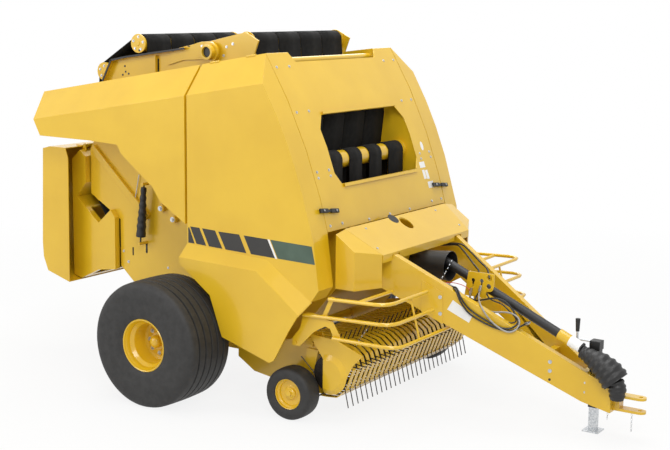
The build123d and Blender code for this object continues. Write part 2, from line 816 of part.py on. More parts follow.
# Pickup: side plates that end in the outermost bands, and wing plates that carry the reel's ends
arm_in = pickup_half
arm_out = pickup_half + panel
pickup_rear = 1020
reel_shaft_r = 30
reel_end = tine_pitch * (tine_count - 1) / 2 + tine_wire
wing_in = reel_end + 6
wing_out = wing_in + 8
drum_t = 22
drum_cut_x = 1345
wing_bar = (1236, 654)
wing_bar_r = 12
outer_band_x0 = 1290
band_outline = [(pickup_rear, 585), (1390, 585), (1490, 560), (1560, 505), (1587, 432), (1520, 258),
                (1440, 190), (1340, 182), (pickup_rear, 182)]


def band(y0, y1):
    """Sheet band round the reel, open at its back."""
    inner = inset(band_outline, [band_t] * (len(band_outline) - 1) + [0])
    return slab(band_outline + inner[::-1], y0, y1)


def wing():
    """Plate at the end of the reel with the drum-shaped cover of its bearing."""
    plate = slab([(1222, 640), (1222, 672), (1465, 652), (1690, 569), (1606, 480), (1555, 389), (1520, 290),
                  (1450, 225), (drum_cut_x, 225), (drum_cut_x, 470)], -wing_out, -wing_in)
    drum = cone_between((reel_x, -wing_out, reel_z), (reel_x, -wing_out - drum_t, reel_z), 158, 118)
    behind = box(0, drum_cut_x, -wing_out - drum_t - 1, -wing_out, 0, 1000)
    bore = rod(reel_x, reel_z, reel_shaft_r + pin_gap, -wing_out - 4, -wing_in + 1)
    return plate.fuse(drum.cut(behind)).cut(bore)


def pickup_frame():
    side = slab([(lift_x - 60, lift_z - 60), (lift_x - 60, lift_z + 60), (900, 560), (1180, 640), (1205, 680),
                 (1275, 680), (1310, 590), (1310, 560), (1200, 450), (1200, 300), (1310, 215), (1310, 184),
                 (1000, 205), (620, 262)], -arm_out, -arm_in)
    y1 = tine_pitch * (tine_count - 2) / 2 + band_w / 2
    outer_band = band(-y1, -arm_in).cut(box(0, outer_band_x0, -y1 - 1, 0, 0, 1000))
    x, z = wing_bar
    bar = rod(x, z, wing_bar_r, -wing_in, -arm_in)
    side = side.fuse(outer_band, bar, wing())
    pivot = rod(lift_x, lift_z, lift_r, -arm_in, arm_in)
    return pivot.fuse(side, mirror(side, about=Plane.XZ))


keep("pickup_frame", pickup_frame())

# Stripper bands: sheets round the reel, one on each side of every row of tines
tine_ys = [(i - (tine_count - 1) / 2) * tine_pitch for i in range(tine_count)]
band_ys = [(i - tine_count / 2) * tine_pitch for i in range(2, tine_count - 1)]


def stripper_bands():
    heights = [z for x, z in band_outline]
    rear = box(pickup_rear - band_t, pickup_rear + band_t, -arm_in, arm_in, min(heights), max(heights))
    return rear.fuse(*[band(y - band_w / 2, y + band_w / 2) for y in band_ys])


keep("stripper_bands", stripper_bands())

# Tine reel: shaft, end discs, bars and their tines
reel_bars = 5
bar_angle0 = -21
tine_lean = -56
tine_len = 200
reel_bar_r = 16


def reel():
    shaft = rod(reel_x, reel_z, reel_shaft_r, -wing_out, wing_out)
    disc_r = tine_bar_r + reel_bar_r + 4
    discs = [rod(reel_x, reel_z, disc_r, s * reel_end, s * (reel_end - 8)) for s in (-1, 1)]
    parts = [shaft] + discs
    for i in range(reel_bars):
        a = math.radians(bar_angle0 + 360 / reel_bars * i)
        bx, bz = reel_x + tine_bar_r * math.cos(a), reel_z + tine_bar_r * math.sin(a)
        parts.append(prism_between((bx, -reel_end + 4, bz), (bx, reel_end - 4, bz), reel_bar_r))
        t = a + math.radians(tine_lean)
        tip_x, tip_z = bx + tine_len * math.cos(t), bz + tine_len * math.sin(t)
        for y in tine_ys:
            parts.append(prism_between((bx, y, bz), (tip_x, y, tip_z), tine_wire))
    return parts[0].fuse(*parts[1:])


keep("tine_reel", reel())

# Wind guard: three bent tubes that float on two pins; the two upper ones stop beside the tongue
guard_r = 15
guard_gap = 190
guard_half = pickup_half + panel + gauge_arm_t + guard_gap
guard_bend = 110
guard_pivot = (1165, 625)
guard_pin_r = 12
# columns: rear end of the side run as x and z, height in front, half width where it stops
guard_tubes = [(1474, 1010, 1027, 537), (1240, 859, 882, 514), (1512, 713, 714, 0)]
# the tubes' front runs stand on one sloping line, from the top one to the low one
guard_front_x = (1986, 2070)
branch = [(1729, 1015), (1714, 1005)]
branch_stop = 600


def guard_front(z):
    top, low = guard_tubes[0][2], guard_tubes[2][2]
    return guard_front_x[0] + (guard_front_x[1] - guard_front_x[0]) * (top - z) / (top - low)


def bent_tube(points, bend, r, chords=3, sides=8):
    """Tube with flat sides along straight runs; each bend is a few chords."""
    path = [Vector(*points[0])]
    for before, corner, after in zip(points, points[1:], points[2:]):
        c = Vector(*corner)
        u = (Vector(*before) - c).normalized()
        v = (Vector(*after) - c).normalized()
        half = math.radians(u.get_angle(v)) / 2
        centre = c + (u + v).normalized() * (bend / math.sin(half))
        start = c + u * (bend / math.tan(half)) - centre
        end = c + v * (bend / math.tan(half)) - centre
        turn = math.pi - 2 * half
        for k in range(chords + 1):
            a = turn * k / chords
            path.append(centre + (start * math.sin(turn - a) + end * math.sin(a)) * (1 / math.sin(turn)))
    path.append(Vector(*points[-1]))
    section = Plane(origin=path[0], z_dir=path[1] - path[0]) * RegularPolygon(r, sides)
    return sweep(section, path=Polyline(*path), transition=Transition.RIGHT)


def guard_pipes():
    solids = []
    for rear, rear_z, z, stop in guard_tubes:
        x = guard_front(z)
        side = [(rear, -guard_half, rear_z), (x, -guard_half, z)]
        if stop:
            solids += both_sides(bent_tube(side + [(x, -stop, z)], guard_bend, guard_r))
        else:
            solids.append(bent_tube(side + [(x, guard_half, z), (rear, guard_half, rear_z)], guard_bend, guard_r))
    (x0, z0), (x1, z1) = branch
    inner = (x0, -guard_half + guard_r + seat, z0)
    solids += both_sides(prism_between(inner, (x1, -branch_stop, z1), guard_r, 8))
    return solids


keep("wind_guard", guard_pipes())

# Brackets that carry the wind guard: hooked plates on the pins, straps and uprights
bracket_t = 8
bracket_out = guard_half - guard_r - seat
upright_y = 750
upright_r = 9


def guard_bracket():
    """Hooked plate inside the tubes' side runs, turning on the pin of the gauge wheel's arm."""
    hook = slab([(1130, 600), (1135, 660), (1205, 746), (1235, 878), (1330, 878), (1400, 850), (1502, 837),
                 (1572, 726), (1560, 695), (1500, 695), (1508, 716), (1477, 778), (1433, 790), (1329, 730),
                 (1200, 600)], -bracket_out, -bracket_out + bracket_t)
    x, z = guard_pivot
    return hook.cut(rod(x, z, guard_pin_r + pin_gap, -bracket_out - 1, -bracket_out + bracket_t + 1))


def guard_strap():
    """Flat bar that ties the rear end of the upper tube to the middle one."""
    (rear, z, _, _), (_, middle, _, _) = guard_tubes[:2]
    return slab([(rear + 5, z + guard_r), (rear + 45, z + guard_r), (rear - 40, middle - guard_r),
                 (rear - 80, middle - guard_r)], -bracket_out, -bracket_out + bracket_t)


def guard_upright():
    """Bar behind the three front runs."""
    top, low = guard_tubes[0][2], guard_tubes[2][2]
    slope = math.hypot(guard_front(low) - guard_front(top), top - low) / (top - low)
    back = (guard_r + upright_r + seat) * slope
    return prism_between((guard_front(top) - back, -upright_y, top), (guard_front(low) - back, -upright_y, low),
                         upright_r, 8)


keep("guard_brackets", [s for piece in (guard_bracket(), guard_strap(), guard_upright())
                        for s in both_sides(piece)])

# Gauge wheel arms with their axles, on perforated plates that also hold the wind guard's pins
adjuster_t = 10
adjuster_hole = 9
adjuster_xs = (1204, 1240)
adjuster_zs = (566, 592, 618)


def gauge_arm():
    arm = slab([(1080, 180), (1146, 178), (1212, 345), (1258, 540), (1150, 540), (1120, 400)],
               -arm_out - gauge_arm_t, -arm_out)
    plate = slab([(1130, 530), (1130, 660), (1215, 671), (1283, 670), (1262, 530)], -arm_out - adjuster_t, -arm_out)
    for x in adjuster_xs:
        for z in adjuster_zs:
            plate = plate.cut(prism_between((x, -arm_out - adjuster_t - 1, z), (x, -arm_out + 1, z),
                                            adjuster_hole, 8))
    plate = plate.cut(rod(*wing_bar, wing_bar_r + seat, -arm_out - adjuster_t - 1, -arm_out + 1))
    axle = rod(gauge_x, gauge_r, 18, -arm_out - gauge_arm_t, -gauge_y - 60)
    x, z = guard_pivot
    pin = rod(x, z, guard_pin_r, -bracket_out - 6, -arm_out)
    return arm.fuse(plate, axle, pin)


keep("gauge_arms", both_sides(gauge_arm()))
right_gauge = tyre(gauge_x, -gauge_y, gauge_r, gauge_w, gauge_rim_r)
right_gauge_rim = rim(gauge_x, -gauge_y, gauge_r, gauge_rim_r, gauge_w * 0.74, 10, 40, 18.05)
keep("gauge_tyre_right", right_gauge)
keep("gauge_tyre_left", mirror(right_gauge, about=Plane.XZ))
keep("gauge_rim_right", right_gauge_rim)
keep("gauge_rim_left", mirror(right_gauge_rim, about=Plane.XZ))

# Everything is moved so that the origin is on the ground under the middle of the machine
boxes = [solid.bounding_box() for solid in nodes.values()]
low = [min(getattr(b.min, k) for b in boxes) for k in "XYZ"]
high = [max(getattr(b.max, k) for b in boxes) for k in "XYZ"]
shift = Vector(-(low[0] + high[0]) / 2, -(low[1] + high[1]) / 2, -low[2])
for name, node in nodes.items():
    moved = [Pos(shift) * solid for solid in node.solids()]
    export_step(moved[0] if len(moved) == 1 else Compound(children=moved), "parts/" + name + ".step")
print("shift", shift, "low", low, "high", high)
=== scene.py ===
import bpy
import bmesh
import json
import math
from mathutils import Matrix, Vector


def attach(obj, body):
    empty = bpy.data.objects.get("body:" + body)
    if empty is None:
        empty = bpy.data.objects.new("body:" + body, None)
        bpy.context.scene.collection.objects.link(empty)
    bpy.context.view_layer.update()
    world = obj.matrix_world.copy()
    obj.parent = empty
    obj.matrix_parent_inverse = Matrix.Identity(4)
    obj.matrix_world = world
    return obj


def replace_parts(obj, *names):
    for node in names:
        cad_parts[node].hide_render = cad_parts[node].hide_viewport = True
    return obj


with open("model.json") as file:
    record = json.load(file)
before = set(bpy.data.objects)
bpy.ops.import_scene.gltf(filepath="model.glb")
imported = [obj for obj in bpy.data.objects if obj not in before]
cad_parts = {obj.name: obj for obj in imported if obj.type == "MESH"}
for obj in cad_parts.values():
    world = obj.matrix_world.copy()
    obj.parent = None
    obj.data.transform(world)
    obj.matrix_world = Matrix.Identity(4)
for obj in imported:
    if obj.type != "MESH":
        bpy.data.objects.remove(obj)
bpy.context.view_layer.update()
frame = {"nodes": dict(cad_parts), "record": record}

# Round baler, in metres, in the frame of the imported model: +X to the hitch, +Y to the left side,
# ground at z = 0. Places are written in millimetres from the point under the main axle.
axleX = -0.882


def at(x, y, z):
    return Vector((x / 1000 + axleX, y / 1000, z / 1000))


# Camera at the photograph's place: where it stands, where it looks, its lens
camera = dict(place=(5.838, -9.076, 3.219), azimuth=33.19, elevation=9.14, roll=0.616, lens=69.85,
              shiftY=-0.0222)


def makeCamera(c):
    data = bpy.data.cameras.new("camera")
    data.lens = c["lens"]
    data.sensor_width = 36
    data.sensor_fit = "HORIZONTAL"
    data.shift_y = c["shiftY"]
    az, el, ro = (math.radians(c[k]) for k in ("azimuth", "elevation", "roll"))
    back = Vector((math.sin(az) * math.cos(el), -math.cos(az) * math.cos(el), math.sin(el)))
    right = Vector((0, 0, 1)).cross(back).normalized()
    up = back.cross(right)
    rightRolled = right * math.cos(ro) + up * math.sin(ro)
    upRolled = up * math.cos(ro) - right * math.sin(ro)
    turn = Matrix((rightRolled, upRolled, back)).transposed().to_4x4()
    obj = bpy.data.objects.new("camera", data)
    obj.matrix_world = Matrix.Translation(c["place"]) @ turn
    bpy.context.scene.collection.objects.link(obj)
    bpy.context.scene.camera = obj


makeCamera(camera)
print("camera in place")


def linear(code):
    values = []
    for i in (0, 2, 4):
        c = int(code[i:i + 2], 16) / 255
        values.append(c / 12.92 if c <= 0.04045 else ((c + 0.055) / 1.055) ** 2.4)
    return (*values, 1)


def addNode(tree, kind, settings=None, links=None):
    node = tree.nodes.new(kind)
    for key, value in (settings or {}).items():
        if hasattr(node, key) and key not in node.inputs:
            setattr(node, key, value)
        else:
            node.inputs[key].default_value = value
    for key, source in (links or {}).items():
        tree.links.new(source, node.inputs[key])
    return node


# Colour that drifts between two shades over patches of the given size in millimetres
def mottle(tree, coords, shader, dark, light, grain):
    noise = addNode(tree, "ShaderNodeTexNoise", {"Scale": 1000 / grain, "Detail": 4.0}, {"Vector": coords})
    ramp = addNode(tree, "ShaderNodeValToRGB", {}, {"Fac": noise.outputs["Fac"]})
    for stop, place, shade in zip(ramp.color_ramp.elements, (0.35, 0.65), (dark, light)):
        stop.position = place
        stop.color = linear(shade)
    tree.links.new(ramp.outputs["Color"], shader.inputs["Base Color"])


# Roughness that drifts between two values over patches of the given size in millimetres
def roughen(tree, coords, shader, grain, low, high):
    noise = addNode(tree, "ShaderNodeTexNoise", {"Scale": 1000 / grain, "Detail": 3.0}, {"Vector": coords})
    span = addNode(tree, "ShaderNodeMapRange", {"To Min": low, "To Max": high}, {"Value": noise.outputs["Fac"]})
    tree.links.new(span.outputs["Result"], shader.inputs["Roughness"])


# Fine relief: grain is its size and depth its height, both in millimetres
def bump(tree, coords, shader, grain, depth):
    noise = addNode(tree, "ShaderNodeTexNoise", {"Scale": 1000 / grain, "Detail": 2.0}, {"Vector": coords})
    rise = addNode(tree, "ShaderNodeBump", {"Strength": 1.0, "Distance": depth / 1000},
                   {"Height": noise.outputs["Fac"]})
    tree.links.new(rise.outputs["Normal"], shader.inputs["Normal"])


# Woven face of a belt: two crossed waves of the given pitch and height in millimetres
def weave(tree, coords, shader, pitch, depth):
    waves = [addNode(tree, "ShaderNodeTexWave", {"Scale": 1000 / pitch / 6.28, "bands_direction": way},
                     {"Vector": coords}) for way in "YZ"]
    both = addNode(tree, "ShaderNodeMath", {"operation": "MULTIPLY"})
    for wave, socket in zip(waves, both.inputs):
        tree.links.new(wave.outputs["Fac"], socket)
    rise = addNode(tree, "ShaderNodeBump", {"Strength": 0.6, "Distance": depth / 1000}, {"Height": both.outputs[0]})
    tree.links.new(rise.outputs["Normal"], shader.inputs["Normal"])


# A finish: two shades and the size of their patches, then what drifts or stands out, then plain values
def makeFinish(name, dark, light, grain, rough=None, relief=None, woven=None, **sockets):
    mat = bpy.data.materials.new(name)
    mat.use_nodes = True
    tree = mat.node_tree
    shader = tree.nodes["Principled BSDF"]
    for key, value in sockets.items():
        shader.inputs[key.replace("_", " ")].default_value = value
    coords = tree.nodes.new("ShaderNodeTexCoord").outputs["Object"]
    mottle(tree, coords, shader, dark, light, grain)
    for adds, values in ((roughen, rough), (bump, relief), (weave, woven)):
        if values:
            adds(tree, coords, shader, *values)
    return mat


# Baked machine enamel on sheet steel: an even warm yellow with a clear gloss and faint orange peel
enamel = makeFinish("yellowEnamel", "D9AE16", "E0B61D", 420, (90, 0.3, 0.4), (9, 0.05),
                    Coat_Weight=0.6, Coat_Roughness=0.1)
# Moulded tyre rubber: near black with a grey bloom and a fine matt skin
tyreRubber = makeFinish("tyreRubber", "222120", "2C2B2A", 60, (25, 0.55, 0.72), (4, 0.25))
# Rubber belting with its woven face: matt black, a cross weave drawn at 6 mm so that it shows
beltRubber = makeFinish("beltRubber", "111110", "1B1A19", 45, woven=(6, 0.6), Roughness=0.88,
                        Specular_IOR_Level=0.25)
# Moulded polyethylene guards: black, satin, with a fine spark-eroded grain
polyethylene = makeFinish("mouldedPolyethylene", "151414", "1C1B1B", 80, relief=(2.5, 0.12), Roughness=0.45)
# Extruded hose covers: black, pale or red synthetic rubber with a soft sheen
hoseRubber, paleHose, redCord = (
    makeFinish(name, dark, light, 40, relief=(1.5, 0.05), Roughness=0.42)
    for name, dark, light in (("hoseRubber", "151515", "222120"), ("paleHoseCover", "8E8B86", "A9A6A1"),
                              ("redCordCover", "C03A3A", "D04848")))
# Bright zinc plate on steel: pale blue grey, slightly mottled
zinc = makeFinish("zincPlate", "B4B8BC", "DADCDE", 12, (8, 0.25, 0.45), Metallic=1.0)
# Oil-blackened spring steel
springSteel = makeFinish("blackenedSpringSteel", "221E1B", "3A332D", 15, relief=(3, 0.08), Metallic=0.6,
                         Roughness=0.5)
# Cast vinyl film: an even colour with a soft gloss
greyVinyl, greenVinyl, whiteVinyl = (
    makeFinish(name, dark, light, 150, Roughness=0.4, Coat_Weight=0.2)
    for name, dark, light in (("greyVinylFilm", "22211F", "292724"), ("greenVinylFilm", "3C5142", "465B4C"),
                              ("whiteVinylFilm", "E9E9E7", "F2F2F0")))
print("materials made")


# The bmesh as a finished piece of one material that moves with a body
def showPiece(name, bm, mat, body, sharp=32, weighted=True):
    mesh = bpy.data.meshes.new(name)
    bm.to_mesh(mesh)
    bm.free()
    mesh.polygons.foreach_set("use_smooth", [True] * len(mesh.polygons))
    mesh.set_sharp_from_angle(angle=math.radians(sharp))
    obj = bpy.data.objects.new(name, mesh)
    bpy.context.scene.collection.objects.link(obj)
    obj.data.materials.append(mat)
    if weighted:
        flat = obj.modifiers.new("flatFaces", "WEIGHTED_NORMAL")
        flat.keep_sharp = True
        flat.weight = 60
    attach(obj, body)
    return obj


def showZinc(name, bm, body):
    return showPiece(name, bm, zinc, body, 30, False)


# A round bar or cone in millimetres, from a place along an axis
def disc(bm, place, axis, radius, height, sides=24, top=1.0):
    axis = Vector(axis).normalized()
    turn = Vector((0, 0, 1)).rotation_difference(axis).to_matrix().to_4x4()
    middle = Matrix.Translation(place + axis * (height / 2000))
    bmesh.ops.create_cone(bm, cap_ends=True, segments=sides, radius1=radius / 1000,
                          radius2=radius * top / 1000, depth=height / 1000, matrix=middle @ turn)


# A hexagon head on its washer, size is its radius in millimetres
def bolt(bm, place, axis, size):
    axis = Vector(axis).normalized()
    base = place - axis * 0.0006
    disc(bm, base, axis, size * 1.35, size * 0.25, 16)
    disc(bm, base, axis, size, size * 0.9, 6, 0.86)


# A closed section of (along, radius) points turned round an axis that runs along Y
def spinRing(bm, section, centre, side=1, steps=72, closed=True):
    verts = [bm.verts.new(centre + Vector((0, side * y / 1000, radius / 1000))) for y, radius in section]
    edges = [bm.edges.new(pair) for pair in zip(verts, verts[1:])]
    if closed:
        edges.append(bm.edges.new((verts[-1], verts[0])))
    bmesh.ops.spin(bm, geom=verts + edges, cent=centre, axis=(0, 1, 0), angle=math.tau, steps=steps,
                   use_merge=True, use_duplicate=False)
    bmesh.ops.remove_doubles(bm, verts=bm.verts, dist=0.00001)
    bmesh.ops.recalc_face_normals(bm, faces=bm.faces)


# A flat plate of the given outline, drawn out along a vector
def plate(bm, points, depth):
    verts = [bm.verts.new(point) for point in points]
    face = bm.faces.new(verts)
    grown = bmesh.ops.extrude_face_region(bm, geom=[face], use_keep_orig=True)
    moved = [v for v in grown["geom"] if isinstance(v, bmesh.types.BMVert)]
    bmesh.ops.translate(bm, vec=depth, verts=moved)
    island = list({f for v in verts + moved for f in v.link_faces})
    bmesh.ops.recalc_face_normals(bm, faces=island)


# A block in millimetres between any two opposite corners
def block(bm, cornerA, cornerB):
    low, high = (Vector(c) for c in zip(*(sorted(pair) for pair in zip(cornerA, cornerB))))
    made = bmesh.ops.create_cube(bm, size=0.001)["verts"]
    bmesh.ops.scale(bm, vec=high - low, verts=made)
    bmesh.ops.translate(bm, vec=at(*(high + low) / 2), verts=made)


# A roller right across the machine, with a raised ring at each place in rings
def roller(bm, x, z, radius, rings=(), rise=0):
    disc(bm, at(x, -650, z), (0, 1, 0), radius, 1300, 48)
    for y in rings:
        disc(bm, at(x, y, z), (0, 1, 0), radius + rise, 8, 48)


# Free hoses on the tongue: material, diameter, length in metres, what is on the far end, route
hoses = dict(
    hoseInner=(hoseRubber, 14, 2.03, "object",
               [(1345, -300, 1200), (1520, -300, 1195), (1760, -318, 1120), (2000, -330, 1050), (2089, -325, 1037),
                (2145, -354, 1052), (2198, -400, 992), (2243, -382, 921), (2302, -364, 871), (2384, -338, 823),
                (2487, -305, 773), (2562, -288, 764), (2604, -246, 790), (2588, -165, 806), (2536, -138, 864),
                (2484, -130, 915), (2435, -135, 948), (2355, -145, 955), (2272, -150, 929), (2177, -130, 904),
                (2134, -113, 923)]),
    hosePale=(paleHose, 13, 2.08, "object",
              [(1345, -270, 1200), (1520, -275, 1195), (1760, -290, 1120), (1966, -300, 1056), (2071, -300, 1049),
               (2136, -290, 1000), (2201, -280, 948), (2254, -265, 917), (2334, -235, 875), (2393, -215, 858),
               (2476, -180, 867), (2536, -160, 859), (2584, -158, 830), (2612, -196, 798), (2618, -268, 762),
               (2562, -290, 738), (2493, -318, 771), (2416, -338, 835), (2362, -358, 922), (2260, -215, 946),
               (2218, -113, 970)]),
    hoseOuter=(hoseRubber, 14, 1.57, "connector",
               [(1345, -330, 1180), (1520, -328, 1170), (1760, -332, 1090), (1992, -330, 1030), (2079, -328, 1030),
                (2157, -392, 1044), (2190, -404, 980), (2222, -394, 920), (2268, -378, 861), (2356, -347, 809),
                (2429, -325, 777), (2524, -300, 752), (2590, -276, 752), (2626, -236, 782), (2634, -140, 786)]),
    hoseLoop=(hoseRubber, 11, 0.9, "object",
              [(2280, -108, 974), (2296, -112, 941), (2343, -120, 925), (2415, -110, 910), (2469, -112, 870),
               (2540, -122, 822), (2574, -178, 802), (2543, -232, 796), (2470, -236, 806), (2400, -228, 832),
               (2330, -216, 852), (2250, -200, 868), (2190, -160, 890), (2186, -112, 930), (2205, -104, 968)]),
    hoseFarUpper=(hoseRubber, 14, 1.1, "object",
                  [(1345, 430, 1180), (1520, 430, 1190), (1680, 415, 1215), (1760, 385, 1228), (1845, 300, 1211),
                   (1978, 170, 1173), (2099, 40, 1144), (2180, -40, 1127), (2202, -94, 1085)]),
    hoseFarLower=(hoseRubber, 14, 1.16, "object",
                  [(1345, 400, 1210), (1520, 405, 1218), (1680, 400, 1228), (1799, 372, 1244), (1890, 300, 1224),
                   (2011, 190, 1198), (2126, 90, 1163), (2186, 40, 1155), (2243, -20, 1140), (2292, -94, 1092)]),
    cordRed=(redCord, 6, 0.37, "object",
             [(1985, -389, 1060), (2010, -330, 1062), (2030, -220, 1050), (2061, -150, 1028), (2089, -137, 1017),
              (2119, -127, 1003), (2139, -122, 977), (2148, -117, 966)]))
# Screw coupling on the loose end of the outer hose: how far along, radius, length and sides of each step
hoseEnd = dict(overlap=12, steps=((0, 11, 30, 24), (30, 14, 16, 6), (46, 10, 22, 24), (68, 6, 12, 16)))


def makeHose(name, mat, wide, route):
    data = bpy.data.curves.new(name, "CURVE")
    data.dimensions = "3D"
    data.bevel_depth = wide / 2000
    data.bevel_resolution = 3
    data.resolution_u = 8
    data.use_fill_caps = True
    spline = data.splines.new("NURBS")
    spline.points.add(len(route) - 1)
    for point, place in zip(spline.points, route):
        point.co = (*at(*place), 1)
    spline.order_u = 3
    spline.use_endpoint_u = True
    data.materials.append(mat)
    obj = bpy.data.objects.new(name, data)
    bpy.context.scene.collection.objects.link(obj)
    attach(obj, "chassis")
    return obj


def makeHoseEnd(route):
    tip, before = at(*route[-1]), at(*route[-2])
    axis = (tip - before).normalized()
    bm = bmesh.new()
    for along, radius, long, sides in hoseEnd["steps"]:
        disc(bm, tip + axis * ((along - hoseEnd["overlap"]) / 1000), axis, radius, long, sides, 0.96)
    return showZinc("hose_outer_coupling", bm, "chassis")


for name, (mat, wide, length, farEnd, route) in hoses.items():
    hose = makeHose(name, mat, wide, route)
    ends = [makeHoseEnd(route)] if farEnd == "connector" else []
print("hoses laid")


def bodyOf(node):
    return next(b for b, members in frame["record"]["behaviour"]["bodies"].items() if node in members)


def bevelEdges(bm, width, angle=28, segments=2):
    edges = [e for e in bm.edges if len(e.link_faces) == 2 and e.calc_face_angle(0) > math.radians(angle)]
    bmesh.ops.bevel(bm, geom=edges, offset=width / 1000, offset_type="OFFSET", affect="EDGES",
                    segments=segments, profile=0.5, material=-1, clamp_overlap=True)


# The mesh of a CAD node with its loose triangles merged
def nodeMesh(node):
    bm = bmesh.new()
    bm.from_mesh(frame["nodes"][node].data)
    bmesh.ops.remove_doubles(bm, verts=bm.verts, dist=0.00002)
    return bm


def joinFlat(bm):
    bmesh.ops.dissolve_limit(bm, angle_limit=math.radians(2), verts=bm.verts, edges=bm.edges)


# A finished copy of a CAD node with rounded edges
def dress(node, mat, bevel):
    bm = nodeMesh(node)
    joinFlat(bm)
    bevelEdges(bm, bevel)
    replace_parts(showPiece(node + "Skin", bm, mat, bodyOf(node)), node)


# Width in millimetres of the rounded edge on each piece that keeps its CAD form
sheetPieces = dict(
    chassis_walls=2, axle=4, cross_tubes=3, outriggers=3, hood=2.5, corner_covers=2.5,
    tongue=7, hitch_clevis=4, gearbox=8, pivot_ears=3, panel_hinges=1.5, side_panel_right=2.5,
    side_panel_left=2.5, side_flare_right=2.5, side_flare_left=2.5, tailgate_shells=2.5, tailgate_walls=2,
    shell_arms=2, tail_braces=3, net_box=2, net_door=3, pickup_frame=2.5, stripper_bands=1.5, wind_guard=1.5,
    guard_brackets=2, gauge_arms=3)
otherPieces = dict(
    tail_springs=(polyethylene, 1.5), driveline_bell=(polyethylene, 2), driveline_tube=(polyethylene, 2),
    driveline_sleeve=(polyethylene, 2), jack_tube=(polyethylene, 3), jack_leg=(zinc, 2), jack_crank=(zinc, 2),
    tine_reel=(springSteel, 1))
for node, width in sheetPieces.items():
    dress(node, enamel, width)
for node, (mat, width) in otherPieces.items():
    dress(node, mat, width)
print("carried-over pieces dressed")


# Main tyre: flank from the bead to the shoulder as (along, radius), then ribs between grooves
mainTyre = dict(flank=[(200, 205), (226, 207), (237, 224), (243, 250), (244, 253), (248, 300), (249.5, 330),
                       (250, 333), (250, 380), (250, 425), (248, 455), (240, 483), (227, 499), (206, 506)],
                crown=512, fall=5, grooves=(-148, -74, 0, 74, 148), width=15, depth=17, steps=96)
mainRim = dict(section=[(231, 214), (236, 209), (232, 202), (214, 197), (206, 191), (178, 187), (168, 178),
                        (152, 164), (136, 161), (40, 161), (30, 156), (24, 128), (38, 98), (38, 38), (28, 38),
                        (28, 92), (12, 124), (16, 158), (-136, 161), (-152, 164), (-168, 178), (-178, 187),
                        (-206, 191), (-214, 197), (-232, 202), (-236, 209), (-231, 214), (-222, 212),
                        (-210, 205), (210, 205), (222, 212)],
               hub=[(34, 0), (34, 78), (54, 76), (60, 70), (60, 52), (88, 50), (98, 46), (110, 36), (119, 20),
                    (122, 0)], studs=8, studCircle=100, studSize=13, studAt=36.5)
gaugeTyre = dict(flank=[(60, 118), (76, 122), (86, 142), (89, 162), (86, 184), (76, 198), (62, 205)],
                 crown=209, fall=4, grooves=(), width=0, depth=0, steps=64)
gaugeRim = dict(section=[(66, 126), (69, 121), (66, 115), (50, 112), (40, 100), (26, 96), (20, 60), (26, 44),
                         (26, 20), (14, 20), (14, 44), (8, 60), (12, 98), (-40, 100), (-50, 112), (-66, 115),
                         (-69, 121), (-66, 126), (-60, 125), (-54, 118), (54, 118), (60, 125)],
                hub=[(20, 0), (20, 40), (40, 38), (46, 32), (46, 0)], studs=0)
# Barrel behind both hubs (from y, radius, length), and the wheels' centres on the left side
barrel = (-20, 45, 60)
wheelPlaces = dict(main=(0, 1322, 512), gauge=(1113, 1075, 209))


def tyreSection(t):
    edge = t["flank"][-1][0]

    def crownAt(y):
        return t["crown"] - t["fall"] * (y / edge) ** 2

    across = []
    for g in sorted(t["grooves"], reverse=True):
        half, lip = t["width"] / 2, 2
        across += [(g + half + lip, crownAt(g + half + lip)), (g + half, crownAt(g) - 3),
                   (g + half - 2, crownAt(g) - t["depth"]), (g - half + 2, crownAt(g) - t["depth"]),
                   (g - half, crownAt(g) - 3), (g - half - lip, crownAt(g - half - lip))]
    if not across:
        across = [(y, crownAt(y)) for y in (40, 15, -15, -40)]
    return t["flank"] + across + [(-y, r) for y, r in reversed(t["flank"])]


def makeWheel(names, bodyName, side, place, tyre, rim):
    x, y, z = place
    centre = at(x, side * y, z)
    bm = bmesh.new()
    spinRing(bm, tyreSection(tyre), centre, side, tyre["steps"])
    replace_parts(showPiece(names[0] + "Moulded", bm, tyreRubber, bodyName, 40, False), names[0])
    bm = bmesh.new()
    spinRing(bm, rim["section"], centre, side, 72)
    start, radius, long = barrel
    disc(bm, centre + Vector((0, side * start / 1000, 0)), (0, side, 0), radius, long, 32)
    spinRing(bm, rim["hub"], centre, side, 48, False)
    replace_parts(showPiece(names[1] + "Pressed", bm, enamel, bodyName, 30, False), names[1])
    if rim["studs"]:
        bm = bmesh.new()
        for i in range(rim["studs"]):
            turn = math.tau * i / rim["studs"]
            circle = rim["studCircle"]
            spot = Vector((circle * math.cos(turn), side * rim["studAt"], circle * math.sin(turn))) / 1000
            bolt(bm, centre + spot, (0, side, 0), rim["studSize"])
            disc(bm, centre + spot + Vector((0, side * 0.0045, 0)), (0, side, 0), 6, 16, 10, 0.8)
        showZinc(names[1] + "Studs", bm, bodyName)


for side, y in (("right", -1), ("left", 1)):
    makeWheel(("tyre_" + side, "rim_" + side), "wheel_" + side, y, wheelPlaces["main"], mainTyre, mainRim)
    makeWheel(("gauge_tyre_" + side, "gauge_rim_" + side), "gauge_wheel_" + side, y, wheelPlaces["gauge"],
              gaugeTyre, gaugeRim)
print("wheels turned")


